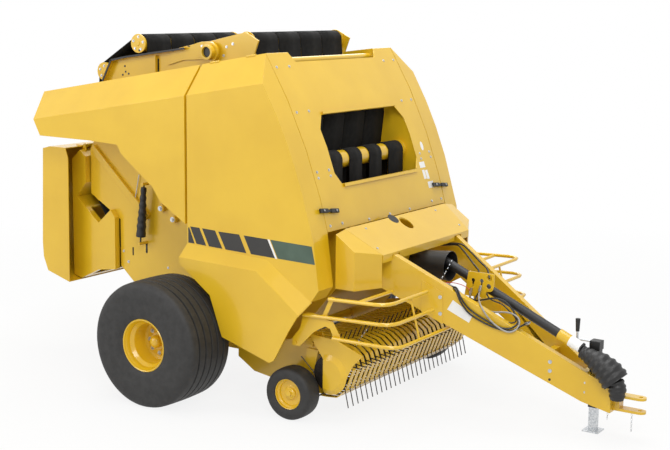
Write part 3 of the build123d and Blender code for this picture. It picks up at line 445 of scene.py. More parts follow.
# Stripe along the side panel: bare vinyl blocks with their (x, z) corners, and how thick the film is
stripe = dict(thick=0.7, outer=1140,
              grey=[[(127, 1414), (127, 1294), (192, 1293), (136, 1421)],
                    [(146, 1427), (241, 1426), (310, 1288), (211, 1293)],
                    [(269, 1425), (400, 1420), (473, 1282), (338, 1287)],
                    [(432, 1416), (638, 1414), (710, 1274), (505, 1280)],
                    [(683, 1412), (910, 1406), (985, 1266), (755, 1272)]],
              white=[[(912, 1406), (932, 1405), (1004, 1263), (985, 1265)]],
              green=[[(939, 1406), (1323, 1395), (1354, 1258), (1010, 1266)]])
for side, y in (("right", -1), ("left", 1)):
    for shade, film in (("grey", greyVinyl), ("white", whiteVinyl), ("green", greenVinyl)):
        bm = bmesh.new()
        for corners in stripe[shade]:
            flat = [at(x, y * stripe["outer"], z) for x, z in corners]
            plate(bm, flat, Vector((0, y * stripe["thick"] / 1000, 0)))
        showPiece("stripe_" + shade + "_" + side, bm, film, "side_panel_" + side, 30, False)
print("stripes laid")


# Front panel: its bent outline as (x, z), and its rows of bolts as (height, places across)
frontBend = [(742, 2815), (950, 2465), (1126, 2091), (1262, 1718), (1330, 1474)]
frontRows = [(2709, (-880, -713, 713, 880)), (2369, (-878, -713, 713, 878)), (1921, (-878, -713, 713, 878)),
             (1876, (-880, -711, 711, 880)), (1516, (-882, -713, 713, 882)), (1496, (-327, -3, 321))]


# Point and outward direction on the front panel at a height
def onFront(y, z):
    for (xA, zA), (xB, zB) in zip(frontBend, frontBend[1:]):
        if z >= zB:
            k = (zA - z) / (zA - zB)
            return at(xA + (xB - xA) * k, y, z), Vector((zA - zB, 0, xB - xA)).normalized()


bm = bmesh.new()
for z, places in frontRows:
    for y in places:
        spot, out = onFront(y, z)
        bolt(bm, spot, out, 9)
showZinc("front_panel_bolts", bm, "chassis")
print("bolts set")

# Front panel: the CAD sheet with the notch in its top edge, and the window's folded lips as (height,
# half width, way they turn)
frontPanel = dict(edge=2.5, top=2810, notchHalf=640, notchSlope=45, notchDrop=78, lipOut=20, lipTall=28,
                  lipThick=5, lips=[(2330, 556, 1), (1803, 575, -1)])


def makeFrontPanel(p):
    bm = nodeMesh("front_panel")
    spot, out = onFront(0, p["top"])
    down = Vector((out.z, 0, -out.x))
    slope = p["notchSlope"] / p["notchDrop"]
    cuts = [(spot + Vector((0, side * p["notchHalf"] / 1000, 0)), Vector((0, side, 0)) + down * slope)
            for side in (1, -1)]
    for place, out in cuts + [(spot + down * (p["notchDrop"] / 1000), down)]:
        bmesh.ops.bisect_plane(bm, geom=bm.verts[:] + bm.edges[:] + bm.faces[:], plane_co=place, plane_no=out)

    def inNotch(point):
        below = (point - spot).dot(down) * 1000
        return below < p["notchDrop"] and abs(point.y) * 1000 < p["notchHalf"] - below * slope

    gone = [f for f in bm.faces if inNotch(f.calc_center_median())]
    bmesh.ops.delete(bm, geom=gone, context="FACES")
    bmesh.ops.holes_fill(bm, edges=[e for e in bm.edges if e.is_boundary], sides=0)
    joinFlat(bm)
    bevelEdges(bm, p["edge"])
    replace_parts(showPiece("front_panel_sheet", bm, enamel, "chassis"), "front_panel")

    bm = bmesh.new()
    for z, half, up in p["lips"]:
        spot, out = onFront(0, z)
        along = Vector((-out.z, 0, out.x)) * up
        base = [spot + Vector((0, y / 1000, 0)) - out * 0.004 for y in (-half, half)]
        edge = [v + out * (p["lipOut"] / 1000) for v in reversed(base)]
        plate(bm, base + edge, along * (p["lipThick"] / 1000))
        hem = [v + out * ((p["lipOut"] - p["lipThick"]) / 1000) for v in base]
        hem += [v + along * (p["lipTall"] / 1000) for v in reversed(hem)]
        plate(bm, hem, out * (p["lipThick"] / 1000))
    bevelEdges(bm, 1.5)
    showPiece("window_lips", bm, enamel, "chassis")


makeFrontPanel(frontPanel)

# Belts over the top roller and down behind the window, and narrower ones over the rollers in the
# window: rollers as (x, z, radius), bands as (low y, high y)
belting = dict(thick=8, topRoller=(342, 2885, 70), frontRollers=[(1012, 1955, 72), (1012, 1480, 72)],
               start=[(40, 2890), (110, 2925)],
               down=[(428, 2741), (858, 2345), (868, 2270), (838, 2000), (830, 1500)],
               long=[(-630, -324), (-312, -6), (6, 312), (324, 630)],
               short=[(-600, -368), (-258, -72), (48, 238), (356, 590)])


# One belt: an edge across the machine drawn straight to each (x, z), and turned about each (x, z, degrees)
def drawBelt(bm, low, high, start, moves):
    pair = [bm.verts.new(at(start[0], y, start[1])) for y in (low, high)]
    edge = bm.edges.new(pair)
    for x, z, *degrees in moves:
        if not degrees:
            grown = bmesh.ops.extrude_edge_only(bm, edges=[edge])["geom"]
            moved = [g for g in grown if isinstance(g, bmesh.types.BMVert)]
            here = sum((v.co for v in moved), Vector()) / 2
            bmesh.ops.translate(bm, vec=at(x, here.y * 1000, z) - here, verts=moved)
            edge = next(g for g in grown if isinstance(g, bmesh.types.BMEdge))
        else:
            last = bmesh.ops.spin(bm, geom=list(edge.verts) + [edge], cent=at(x, 0, z), axis=(0, 1, 0),
                                  angle=math.radians(degrees[0]), steps=12, use_duplicate=False)["geom_last"]
            edge = next(g for g in last if isinstance(g, bmesh.types.BMEdge))


def finishBelts(name, bm, thick, swaps, body="chassis"):
    bmesh.ops.remove_doubles(bm, verts=bm.verts, dist=0.0001)
    obj = showPiece(name, bm, beltRubber, body, 40, False)
    wall = obj.modifiers.new("beltThickness", "SOLIDIFY")
    wall.thickness = thick / 1000
    wall.offset = 0
    if swaps:
        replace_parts(obj, *swaps)


def makeBelts(b):
    half = b["thick"] / 2
    x, z, r = b["topRoller"]
    rim = r + half + 0.5
    bm = bmesh.new()
    for low, high in b["long"]:
        drawBelt(bm, low, high, b["start"][0], b["start"][1:] + [(x, z + rim), (x, z, 92)] + b["down"])
    finishBelts("front_belt_run", bm, b["thick"], ["front_belts"])
    bm = bmesh.new()
    x, z, r = b["frontRollers"][0]
    rim = r + half + 0.5
    lower = b["frontRollers"][1][1]
    for low, high in b["short"]:
        drawBelt(bm, low, high, (x - rim, z), [(x, z, 180), (x + rim, lower), (x, lower, 180), (x - rim, z - 1)])
    finishBelts("window_belts", bm, b["thick"], [])
    bm = bmesh.new()
    for x, z, r in b["frontRollers"]:
        roller(bm, x, z, r, (-625, 612), 14)
    bevelEdges(bm, 2)
    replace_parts(showPiece("window_rollers", bm, enamel, "chassis"), "front_rollers")
    bm = bmesh.new()
    roller(bm, *b["topRoller"], (-648, 638), 15)
    bevelEdges(bm, 2)
    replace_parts(showPiece("top_roller_turned", bm, enamel, "chassis"), "top_roller")


makeBelts(belting)
print("front panel, belts and rollers made")


# Plate that holds the hose couplings: (x, z) outline, keyholes as (x, z, radius, slot foot), round holes,
# the foot it stands on, and couplings as (x, top, bottom)
holderPlate = dict(y=-100, thick=8, outline=[(2117, 1129), (2340, 1132), (2336, 1030), (2326, 1000), (2309, 988),
                                             (2271, 985), (2271, 932), (2087, 936)],
                   keyholes=[(2156, 1064, 17, 1008), (2231, 1066, 17, 1028)],
                   holes=[(2297, 1097, 24), (2292, 1029, 21)], fold=34, slotHalf=7, foot=(2164, 700, 2204, 940),
                   couplings=[(2142, 1002, 930), (2222, 1030, 960)])


def makeHolder(h):
    data = bpy.data.curves.new("holderOutline", "CURVE")
    data.dimensions = "2D"
    data.fill_mode = "BOTH"
    data.extrude = h["thick"] / 2000 - 0.001
    data.bevel_depth = 0.001
    loops = [h["outline"]]
    for x, z, r, foot in h["keyholes"]:
        ring = [(x + r * math.sin(a), z + r * math.cos(a)) for a in (math.tau * (i + 0.5) / 16 for i in range(16))]
        slot = [(x + h["slotHalf"], foot), (x - h["slotHalf"], foot)]
        loops.append(ring[:7] + slot + ring[9:])
    for x, z, r in h["holes"]:
        loops.append([(x + r * math.cos(a), z + r * math.sin(a)) for a in (math.tau * i / 20 for i in range(20))])
    for loop in loops:
        spline = data.splines.new("POLY")
        spline.points.add(len(loop) - 1)
        spline.use_cyclic_u = True
        for point, (x, z) in zip(spline.points, loop):
            point.co = (x / 1000, z / 1000, 0, 1)
    flat = bpy.data.objects.new("holderOutline", data)
    mesh = bpy.data.meshes.new_from_object(flat)
    bpy.data.objects.remove(flat)
    bpy.data.curves.remove(data)
    bm = bmesh.new()
    bm.from_mesh(mesh)
    bpy.data.meshes.remove(mesh)
    place = Matrix.Translation((axleX, h["y"] / 1000, 0)) @ Matrix.Rotation(math.radians(90), 4, "X")
    bmesh.ops.transform(bm, matrix=place, verts=bm.verts)
    top, low = (at(x, h["y"], z) for x, z in (h["outline"][0], h["outline"][-1]))
    fold = Vector((0, h["fold"] / 1000, 0))
    plate(bm, [top, low, low + fold, top + fold], Vector((-0.006, 0, 0)))
    x0, z0, x1, z1 = h["foot"]
    block(bm, (x0, h["y"] - h["thick"] / 2, z0), (x1, h["y"] + h["thick"] / 2, z1))
    bmesh.ops.remove_doubles(bm, verts=bm.verts, dist=0.00001)
    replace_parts(showPiece("hose_holder_plate", bm, enamel, "chassis"), "hose_holder")
    bm = bmesh.new()
    for x, top, low in h["couplings"]:
        tip, tail = at(x + 8, h["y"] - 16, top), at(x - 6, h["y"] - 14, low)
        axis = tip - tail
        disc(bm, tail, axis, 9, axis.length * 400, 16)
        disc(bm, tail + axis * 0.35, axis, 13, axis.length * 300, 6)
        disc(bm, tail + axis * 0.6, axis, 11, axis.length * 400, 16, 0.9)
    showZinc("hose_couplings", bm, "chassis")


makeHolder(holderPlate)
print("hose holder made")


# Tailgate rollers as (x, z, radius) with the belts round them, and end discs as (x, z, radius, bolt circle)
tailRun = dict(rollers=[(-808, 2844, 70), (-1205, 2592, 76), (-1290, 1500, 60), (-900, 900, 60), (-60, 860, 60)],
               start=(-690, 2250), thick=8, discs=[(-808, 2844, 81, 56), (-1205, 2592, 79, 48)], discAt=662)


# Moves of a belt round the outside of rollers, from a start point over the top to the rear
def wrapMoves(start, rollers, extra):
    circles = [(start[0], start[1], 0)] + [(x, z, r + extra) for x, z, r in rollers]
    normals = []
    for (x0, z0, r0), (x1, z1, r1) in zip(circles, circles[1:]):
        d = Vector((x1 - x0, z1 - z0))
        sine = (r0 - r1) / d.length
        d.normalize()
        normals.append(Vector((d.y, -d.x)) * math.sqrt(1 - sine * sine) + d * sine)
    moves = []
    for i, (x, z, r) in enumerate(circles[1:]):
        n = normals[i]
        moves.append((x + r * n.x, z + r * n.y))
        if i + 1 < len(normals):
            turn = math.degrees(math.atan2(normals[i + 1].x, normals[i + 1].y) - math.atan2(n.x, n.y))
            moves.append((x, z, turn - 360 if turn > 0 else turn))
    return moves


def makeTailRun(t):
    bm = bmesh.new()
    moves = wrapMoves(t["start"], t["rollers"], t["thick"] / 2 + 0.5)
    for low, high in belting["long"]:
        drawBelt(bm, low, high, t["start"], moves)
    finishBelts("tail_belt_run", bm, t["thick"], ["tailgate_belts"], "tailgate")
    bm = bmesh.new()
    for x, z, r in t["rollers"]:
        roller(bm, x, z, r)
    bevelEdges(bm, 2)
    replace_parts(showPiece("tail_rollers_turned", bm, enamel, "tailgate"), "tailgate_rollers")
    plates, heads, dark = bmesh.new(), bmesh.new(), bmesh.new()
    for s in (-1, 1):
        for x, z, r, ring in t["discs"]:
            disc(plates, at(x, s * (t["discAt"] - 13), z), (0, s, 0), r, 13, 48)
            # A small black disc on each end disc is painted shade standing in for a hole through it
            disc(dark, at(x + 14, s * (t["discAt"] - 1), z - 0.72 * r), (0, s, 0), 10, 2, 16)
            disc(plates, at(x, s * t["discAt"], z), (0, s, 0), 22, 6, 24, 0.9)
            for i in range(5):
                a = math.tau * (i + 0.2) / 5
                bolt(heads, at(x + ring * math.cos(a), s * t["discAt"], z + ring * math.sin(a)), (0, s, 0), 9)
    bevelEdges(plates, 2)
    showPiece("tail_roller_discs", plates, enamel, "tailgate")
    showZinc("tail_disc_bolts", heads, "tailgate")
    showPiece("tail_disc_hole_shade", dark, polyethylene, "tailgate")


makeTailRun(tailRun)

# Tailgate walls: folded top edge with a rubber seal, holes (x, z, radius), rib (x, low, high) with a painted shadow
# beside it, bolt heads (x, z, y, size), slots (x, low, high, width), and a thin rod with a ball below it
tailWall = dict(outer=658, fold=46, sheet=7, seal=16,
                edge=[(-1194, 2510), (-1088, 2702), (-924, 2734), (-262, 2827)],
                holes=[(-965, 2646, 9), (-957, 2598, 9), (-990, 2570, 9), (-922, 2582, 9)], rib=(-600, 2600, 2752),
                heads=[(-549, 1448, 698, 17), (-414, 1366, 698, 17), (-955, 930, 658, 10), (-1010, 1020, 658, 9),
                       (-1100, 1995, 658, 8), (-620, 1705, 658, 8), (-330, 1540, 658, 8), (-250, 1180, 658, 8),
                       (-250, 980, 658, 8), (-500, 930, 658, 8), (-80, 2660, 658, 9), (-420, 2560, 658, 9)],
                slots=[(-742, 1040, 1110, 20), (-900, 1000, 1060, 14)], ribOut=34, rodAt=672,
                rod=((-808, 1716), (-863, 1466)), ball=(-833, 1430, 16))


def makeTailWall(t):
    folds, sealsAndRibShadow, heads, dark = bmesh.new(), bmesh.new(), bmesh.new(), bmesh.new()
    for s in (-1, 1):
        near, far = s * t["outer"], s * (t["outer"] + t["fold"])
        for (x0, z0), (x1, z1) in zip(t["edge"], t["edge"][1:]):
            along = Vector((x1 - x0, 0, z1 - z0)).normalized()
            down = Vector((along.z, 0, -along.x)) * (t["sheet"] / 1000)
            plate(folds, [at(x0, near, z0), at(x1, near, z1), at(x1, far, z1), at(x0, far, z0)], down)
            strip = [at(x0, far, z0), at(x1, far, z1)]
            strip += [v + down * (t["seal"] / t["sheet"]) for v in reversed(strip)]
            plate(sealsAndRibShadow, strip, Vector((0, s * 0.006, 0)))
        x, low, high = t["rib"]
        block(folds, (x, near, low), (x + 8, near + s * t["ribOut"], high))
        # Black strip beside the rib that stops short of its top: a painted shadow cast by the rib
        block(sealsAndRibShadow, (x + 8, near, low), (x + 22, near + s * 3, high - 30))
        # Holes and slots are black discs and blocks laid on the wall: painted shade standing in for openings
        for x, z, r in t["holes"]:
            disc(dark, at(x, near, z), (0, s, 0), r, 1.5, 20)
        for x, z, y, size in t["heads"]:
            bolt(heads, at(x, s * y, z), (0, s, 0), size)
        for x, low, high, wide in t["slots"]:
            block(dark, (x - wide / 2, near, low), (x + wide / 2, near + s * 2, high))
            for z in (low, high):
                disc(dark, at(x, near, z), (0, s, 0), wide / 2, 2, 20)
        start, stop = (at(x, s * t["rodAt"], z) for x, z in t["rod"])
        disc(heads, start, stop - start, 4, (stop - start).length * 1000, 10)
        x, z, r = t["ball"]
        bmesh.ops.create_uvsphere(heads, u_segments=16, v_segments=10, radius=r / 1000,
                                  matrix=Matrix.Translation(at(x, s * t["rodAt"], z)))
    bevelEdges(folds, 1.5)
    showPiece("tail_wall_folds", folds, enamel, "tailgate")
    # The rubber seals and the rib's painted shadow share one black piece
    showPiece("tail_wall_seals_and_rib_shadow", sealsAndRibShadow, hoseRubber, "tailgate")
    showZinc("tail_wall_bolts", heads, "tailgate")
    showPiece("tail_wall_hole_and_slot_shade", dark, hoseRubber, "tailgate")


makeTailWall(tailWall)

# Ear plates beside the pivot: raised outer plate on each wall, its bolts, and black blocks of painted shade for its
# slots
earPlate = dict(near=664, thick=8, headAt=680,
                edge=[(-430, 2800), (-200, 2852), (-113, 2876), (58, 2888), (150, 2890), (150, 2760), (-60, 2735),
                      (-300, 2720), (-470, 2672)],
                heads=[(-96, 2840, 9), (160, 2842, 9), (225, 2868, 9), (130, 2772, 9)],
                slots=[(-240, 2836, 26, 8), (-415, 2792, 22, 8)])


def makeEarPlates(p):
    plates, heads, dark = bmesh.new(), bmesh.new(), bmesh.new()
    for s in (-1, 1):
        plate(plates, [at(x, s * p["near"], z) for x, z in p["edge"]], Vector((0, s * p["thick"] / 1000, 0)))
        for x, z, size in p["heads"]:
            bolt(heads, at(x, s * p["headAt"], z), (0, s, 0), size)
        # Each slot is a thin black block: painted shade in place of an opening
        for x, z, long, high in p["slots"]:
            y = s * (p["near"] + p["thick"])
            block(dark, (x - long / 2, y, z - high / 2), (x + long / 2, y + s, z + high / 2))
    bevelEdges(plates, 1.5)
    showPiece("ear_outer_plates", plates, enamel, "tailgate")
    showZinc("ear_plate_bolts", heads, "tailgate")
    showPiece("ear_plate_slot_shade", dark, hoseRubber, "tailgate")


makeEarPlates(earPlate)

# Pivot tubes: open ring and collar on the end of each, with a black disc of painted shade in the bore
pivotEnd = dict(x=20, z=2797, y=750, radius=62, bore=43, ring=24, collar=(700, 82, 26))


def makePivotEnds(p):
    rings, dark = bmesh.new(), bmesh.new()
    for s in (-1, 1):
        y, r, wide = p["collar"]
        for y0, y1, inner, outer in ((p["y"] - 1, p["y"] + p["ring"], p["bore"], p["radius"]),
                                     (y, y + wide, p["radius"] - 1, r)):
            section = [(y0, inner), (y0, outer), (y1, outer), (y1, inner)]
            spinRing(rings, section, at(p["x"], 0, p["z"]), s, 48)
        # A black disc at the foot of each ring is painted shade standing in for the tube's open bore
        disc(dark, at(p["x"], s * p["y"], p["z"]), (0, s, 0), p["bore"], 1.5, 48)
    bevelEdges(rings, 2)
    showPiece("pivot_tube_rings", rings, enamel, "chassis")
    showPiece("pivot_tube_bore_shade", dark, hoseRubber, "chassis")


makePivotEnds(pivotEnd)
print("tailgate details made")


# Rubber over-centre latches that hold the side panels: a strap with two swollen ends on zinc screws
latches = dict(straps=[[(1282, -1000, 1640), (1292, -760, 1612)], [(1281, 760, 1645), (1290, 1000, 1617)]],
               out=(0.94, 0, 0.34), gap=12, wide=34, thick=20, bulge=26,
               lumps=[(0.0, 0.42, 1.0, 1.0), (0.36, 0.64, 0.6, 0.7), (0.58, 1.0, 1.0, 1.0)])


def makeLatches(p):
    rubber, screws = bmesh.new(), bmesh.new()
    out = Vector(p["out"])
    for ends in p["straps"]:
        a, b = (at(*end) + out * (p["gap"] / 1000) for end in ends)
        axis = (b - a).normalized()
        across = axis.cross(out).normalized()
        for k0, k1, wide, thick in p["lumps"]:
            start, stop = a.lerp(b, k0), a.lerp(b, k1)
            half = across * (p["wide"] * wide / 2000)
            plate(rubber, [start - half, stop - half, stop + half, start + half], out * (p["thick"] * thick / 1000))
        for k in (0.16, 0.84):
            spot = a.lerp(b, k) + out * (p["thick"] / 1000)
            disc(rubber, spot - out * 0.004, out, p["bulge"] / 2, 9, 24, 0.8)
            bolt(screws, spot + out * 0.005, out, 6)
    bevelEdges(rubber, 4, 28, 3)
    showPiece("panel_latches", rubber, hoseRubber, "chassis", 60)
    showZinc("panel_latch_screws", screws, "chassis")


makeLatches(latches)

# Blank places of the labels on the front panel's left part: (y, z, half width, half height, oval or not)
blankLabels = [(784, 1978, 22, 40, True), (700, 1826, 44, 26, False), (690, 1745, 20, 40, False),
               (740, 1740, 20, 40, False), (760, 1652, 46, 28, False)]


def makeBlankLabels(labels):
    bm = bmesh.new()
    for y, z, wide, high, oval in labels:
        place, out = onFront(y, z)
        side = Vector((0, 1, 0))
        up = out.cross(side)
        corners = [(-1, -1), (1, -1), (1, 1), (-1, 1)]
        if oval:
            corners = [(math.cos(math.tau * i / 24), math.sin(math.tau * i / 24)) for i in range(24)]
        plate(bm, [place + side * (a * wide / 1000) + up * (b * high / 1000) - out * 0.0004 for a, b in corners],
              out * 0.001)
    showPiece("front_blank_labels", bm, whiteVinyl, "chassis", 40, False)


makeBlankLabels(blankLabels)

# Hood and tongue fittings: bolts and hand hole (x, y, z, radius) of the hood, and on the beams' outer
# faces bolts, holes, joint plates and blank plates as (x, z)
fittings = dict(hoodOut=(0.548, 0, 0.836), hole=(1418, -105, 1478, 52),
                hoodBolts=[(1621, -679, 1346), (1623, 653, 1344), (1440, -560, 1464), (1440, 560, 1464)],
                beamBolts=[(2042, 973), (2045, 842), (2860, 531), (2861, 460), (3116, 393), (3116, 319)],
                holes=[(2861, 392), (3118, 251)], joinThick=6, joinEnd=2100,
                joinPlate=[(2061, 1010), (2066, 760), (1900, 850), (1900, 1098)],
                blankPlate=[(2137, 955), (2289, 851), (2260, 786), (2096, 879)])
# Outer face of a tongue beam: half width of the pair at x, and how far it narrows over its run
beamFace = dict(x=1345, half=648, narrows=550, run=1745)


def beamOut(side):
    return Vector((beamFace["narrows"], side * beamFace["run"], 0)).normalized()


# Point on the outer face of a tongue beam, a little proud of it
def onBeam(side, x, z, proud=0.0):
    half = beamFace["half"] - beamFace["narrows"] * (x - beamFace["x"]) / beamFace["run"]
    return at(x, side * half, z) + beamOut(side) * (proud / 1000)


def makeFittings(f):
    heads, plates, blanks, dark = bmesh.new(), bmesh.new(), bmesh.new(), bmesh.new()
    for x, y, z in f["hoodBolts"]:
        bolt(heads, at(x, y, z), f["hoodOut"], 8)
    x, y, z, r = f["hole"]
    # The hand hole is a black disc of painted shade laid on the hood
    disc(dark, at(x, y, z) - Vector(f["hoodOut"]) * 0.0005, f["hoodOut"], r, 1.5, 32)
    for side in (-1, 1):
        out = beamOut(side)
        plate(plates, [onBeam(side, x, z, -1) for x, z in f["joinPlate"]], out * ((f["joinThick"] + 1) / 1000))
        plate(blanks, [onBeam(side, x, z, -0.5) for x, z in f["blankPlate"]], out * 0.0012)
        for x, z in f["beamBolts"]:
            bolt(heads, onBeam(side, x, z, f["joinThick"] if x < f["joinEnd"] else 0), out, 11)
        # Beam holes are black discs of painted shade
        for x, z in f["holes"]:
            disc(dark, onBeam(side, x, z), out, 10, 1, 20)
    bevelEdges(plates, 2)
    showPiece("tongue_join_plates", plates, enamel, "chassis")
    showPiece("tongue_blank_plates", blanks, whiteVinyl, "chassis")
    showZinc("hood_tongue_bolts", heads, "chassis")
    showPiece("hood_and_beam_hole_shade", dark, hoseRubber, "chassis")


makeFittings(fittings)

# Rubber boot over the front joint, as (x, z, radius): it widens over the shaft and hangs to the hitch
frontBoot = dict(y=-112, rise=0.055, sides=48, upperRibs=8, lowerRibs=4,
                 upper=[(3086, 637, 46), (3130, 618, 54), (3223, 575, 84), (3305, 518, 100), (3368, 447, 108)],
                 lower=[(3362, 455, 60), (3382, 395, 66), (3380, 312, 52)])


# Rings along a path of (x, z, radius) stations, two of every four raised as a rib
def ribbedHose(bm, y, stations, ribs, rise, sides):
    count = ribs * 4
    reach = len(stations) - 1
    rings = []
    for i in range(count + 1):
        k = min(int(i / count * reach), reach - 1)
        share = i / count * reach - k
        (x0, z0, r0), (x1, z1, r1) = stations[k], stations[k + 1]
        before, after = stations[max(k - 1, 0)], stations[min(k + 2, reach)]
        tangentA = Vector((x1 - before[0], z1 - before[1])).normalized()
        tangentB = Vector((after[0] - x0, after[1] - z0)).normalized()
        along = tangentA.lerp(tangentB, share).normalized()
        radius = (r0 + (r1 - r0) * share) * (1 + (rise if i % 4 in (1, 2) else -rise * 0.6))
        centre = at(x0 + (x1 - x0) * share, y, z0 + (z1 - z0) * share)
        up = Vector((-along.y, 0, along.x))
        rings.append([bm.verts.new(centre + (Vector((0, 1, 0)) * math.cos(a) + up * math.sin(a)) * (radius / 1000))
                      for a in (math.tau * j / sides for j in range(sides))])
    for ringA, ringB in zip(rings, rings[1:]):
        for j in range(sides):
            bm.faces.new((ringA[j], ringA[(j + 1) % sides], ringB[(j + 1) % sides], ringB[j]))
    bm.faces.new(rings[0])
    bm.faces.new(list(reversed(rings[-1])))
    bmesh.ops.recalc_face_normals(bm, faces=bm.faces)


def makeFrontBoot(b):
    for part, name, node in (("upper", "shaft_boot_ribbed", "driveline_boot"),
                             ("lower", "shaft_boot_lower", "driveline_yoke")):
        bm = bmesh.new()
        ribbedHose(bm, b["y"], b[part], b[part + "Ribs"], b["rise"], b["sides"])
        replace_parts(showPiece(name, bm, polyethylene, "chassis", 60, False), node)


makeFrontBoot(frontBoot)

# Black plastic over the upright grip of the jack's crank
crankGrip = 0.098


def paintGrip(reach):
    mesh = bpy.data.objects["jack_crankSkin"].data
    mesh.materials.append(polyethylene)
    top = max(v.co.z for v in mesh.vertices)
    for face in mesh.polygons:
        if face.center.z > top - reach:
            face.material_index = 1


paintGrip(crankGrip)

# Shaft: blank wraps on its sleeve as (from x, to x, radius), and hanging chains as lists of places
shaftLine = dict(start=(1790, -10, 1195), end=(3445, -124, 508), wraps=[(2893, 2985, 42.8), (2985, 3078, 43.4)],
                 chains=[[(1930, -40, 1185), (1905, -100, 1090), (1872, -150, 1010)],
                         [(3300, -60, 246), (3292, -64, 130)], [(3482, -60, 206), (3483, -62, 72)],
                         [(1560, -700, 712), (1500, -720, 620), (1470, -730, 560)]],
                 link=17, wire=2.6, bow=0.36, stretch=1.6, twist=20)


def makeShaft(s):
    start, end = Vector(s["start"]), Vector(s["end"])
    axis = (end - start).normalized()
    for name, mat, (x0, x1, r) in zip(("plain", "white"), (enamel, whiteVinyl), s["wraps"]):
        bm = bmesh.new()
        a, b = (start.lerp(end, (x - start.x) / (end.x - start.x)) for x in (x0, x1))
        disc(bm, at(*a), axis, r, (b - a).length, 40)
        showPiece("shaft_wrap_" + name, bm, mat, "chassis")
    bm = bmesh.new()
    for points in s["chains"]:
        for p0, p1 in zip(points, points[1:]):
            a, b = at(*p0), at(*p1)
            count = max(1, round((b - a).length * 1000 / s["link"]))
            for i in range(count):
                spot = a.lerp(b, (i + 0.5) / count)
                turn = Vector((0, 0, 1)).rotation_difference((b - a).normalized()).to_matrix().to_4x4()
                roll = Matrix.Rotation(math.radians(90 * (i % 2) + s["twist"]), 4, "Z")
                bow = Matrix.Translation((0, 0, s["link"] * s["bow"] / 1000))
                ring = bmesh.ops.create_circle(bm, segments=6, radius=s["wire"] / 1000, matrix=bow)["verts"]
                edges = list({e for v in ring for e in v.link_edges})
                before = set(bm.verts)
                bmesh.ops.spin(bm, geom=ring + edges, cent=(0, 0, 0), axis=(0, 1, 0), angle=math.tau, steps=10,
                               use_merge=True, use_duplicate=False)
                link = ring + [v for v in bm.verts if v not in before]
                bmesh.ops.scale(bm, vec=(1, 1, s["stretch"]), verts=link)
                bmesh.ops.transform(bm, matrix=Matrix.Translation(spot) @ turn @ roll, verts=link)
    bmesh.ops.recalc_face_normals(bm, faces=bm.faces)
    showPiece("hanging_chains", bm, zinc, "chassis", 60, False)


makeShaft(shaftLine)
print("latches, fittings and chains made")


# Plain studio: pale floor, even white surroundings, large soft lamps above and beside
studio = dict(floorSize=120, floorColour="E4E4E2", worldStrength=0.5, nearShare=0.86, nearAt=4.0, farAt=9.0)


# White to the camera and to reflections, dimmer as light on the object
def seenWhite(tree):
    path = tree.nodes.new("ShaderNodeLightPath")
    share = path.outputs["Is Camera Ray"]
    for kind in ("Is Glossy Ray", "Is Transmission Ray"):
        both = addNode(tree, "ShaderNodeMath", {"operation": "MAXIMUM"})
        tree.links.new(share, both.inputs[0])
        tree.links.new(path.outputs[kind], both.inputs[1])
        share = both.outputs[0]
    return share


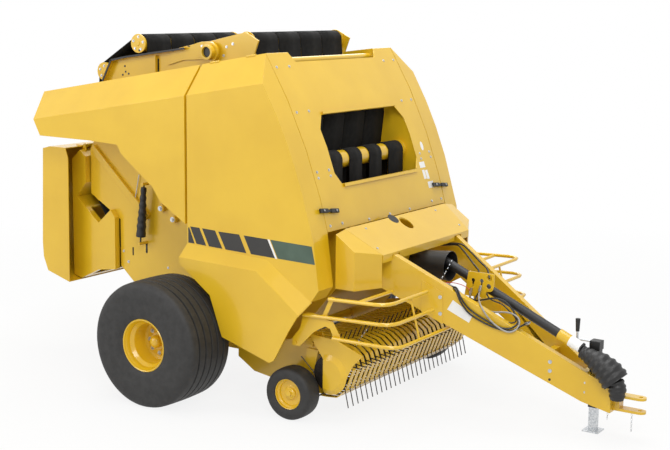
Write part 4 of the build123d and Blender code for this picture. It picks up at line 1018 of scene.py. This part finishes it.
def makeStudio(s):
    world = bpy.data.worlds.new("studio")
    bpy.context.scene.world = world
    world.use_nodes = True
    tree = world.node_tree
    tree.nodes.clear()
    dim = addNode(tree, "ShaderNodeBackground", {"Color": (1, 1, 1, 1), "Strength": s["worldStrength"]})
    white = addNode(tree, "ShaderNodeBackground", {"Color": (1, 1, 1, 1), "Strength": 1.0})
    mix = addNode(tree, "ShaderNodeMixShader", {}, {"Fac": seenWhite(tree)})
    tree.links.new(dim.outputs[0], mix.inputs[1])
    tree.links.new(white.outputs[0], mix.inputs[2])
    out = tree.nodes.new("ShaderNodeOutputWorld")
    tree.links.new(mix.outputs[0], out.inputs["Surface"])

    bm = bmesh.new()
    bmesh.ops.create_grid(bm, x_segments=1, y_segments=1, size=s["floorSize"] / 2)
    mesh = bpy.data.meshes.new("floor")
    bm.to_mesh(mesh)
    bm.free()
    floor = bpy.data.objects.new("floor", mesh)
    bpy.context.scene.collection.objects.link(floor)
    mat = bpy.data.materials.new("paleFloor")
    mat.use_nodes = True
    tree = mat.node_tree
    shader = tree.nodes["Principled BSDF"]
    shader.inputs["Base Color"].default_value = linear(s["floorColour"])
    shader.inputs["Roughness"].default_value = 0.9
    shader.inputs["Specular IOR Level"].default_value = 0.1
    glow = addNode(tree, "ShaderNodeEmission", {"Color": (1, 1, 1, 1), "Strength": 1.0})
    coords = tree.nodes.new("ShaderNodeTexCoord").outputs["Object"]
    reach = addNode(tree, "ShaderNodeVectorMath", {"operation": "LENGTH"})
    tree.links.new(coords, reach.inputs[0])
    fade = addNode(tree, "ShaderNodeMapRange", {"From Min": s["nearAt"], "From Max": s["farAt"],
                                                "To Min": s["nearShare"], "To Max": 1.0},
                   {"Value": reach.outputs["Value"]})
    share = addNode(tree, "ShaderNodeMath", {"operation": "MULTIPLY"})
    tree.links.new(seenWhite(tree), share.inputs[0])
    tree.links.new(fade.outputs["Result"], share.inputs[1])
    mix = addNode(tree, "ShaderNodeMixShader", {}, {"Fac": share.outputs[0]})
    tree.links.new(shader.outputs[0], mix.inputs[1])
    tree.links.new(glow.outputs[0], mix.inputs[2])
    tree.links.new(mix.outputs[0], tree.nodes["Material Output"].inputs["Surface"])
    floor.data.materials.append(mat)


makeStudio(studio)

# Soft boxes: name, place, where it aims, size, watts
softBoxes = [("keyBox", (6.5, -8.5, 8.5), (0.2, -0.5, 1.0), 5.0, 590),
             ("fillBox", (-6.0, -8.0, 5.0), (-0.5, 0.0, 1.2), 5.0, 252),
             ("topBox", (0.0, 0.5, 9.0), (0.0, 0.0, 0.0), 6.0, 435),
             ("rearBox", (-5.0, 7.0, 6.0), (0.0, 0.0, 1.0), 5.0, 220)]
for name, place, aim, size, watts in softBoxes:
    data = bpy.data.lights.new(name, "AREA")
    data.size = size
    data.energy = watts
    lamp = bpy.data.objects.new(name, data)
    lamp.location = place
    lamp.rotation_mode = "QUATERNION"
    lamp.rotation_quaternion = (Vector(aim) - Vector(place)).to_track_quat("-Z", "Y")
    bpy.context.scene.collection.objects.link(lamp)
bpy.context.scene.view_settings.view_transform = "Standard"
print("studio lit")
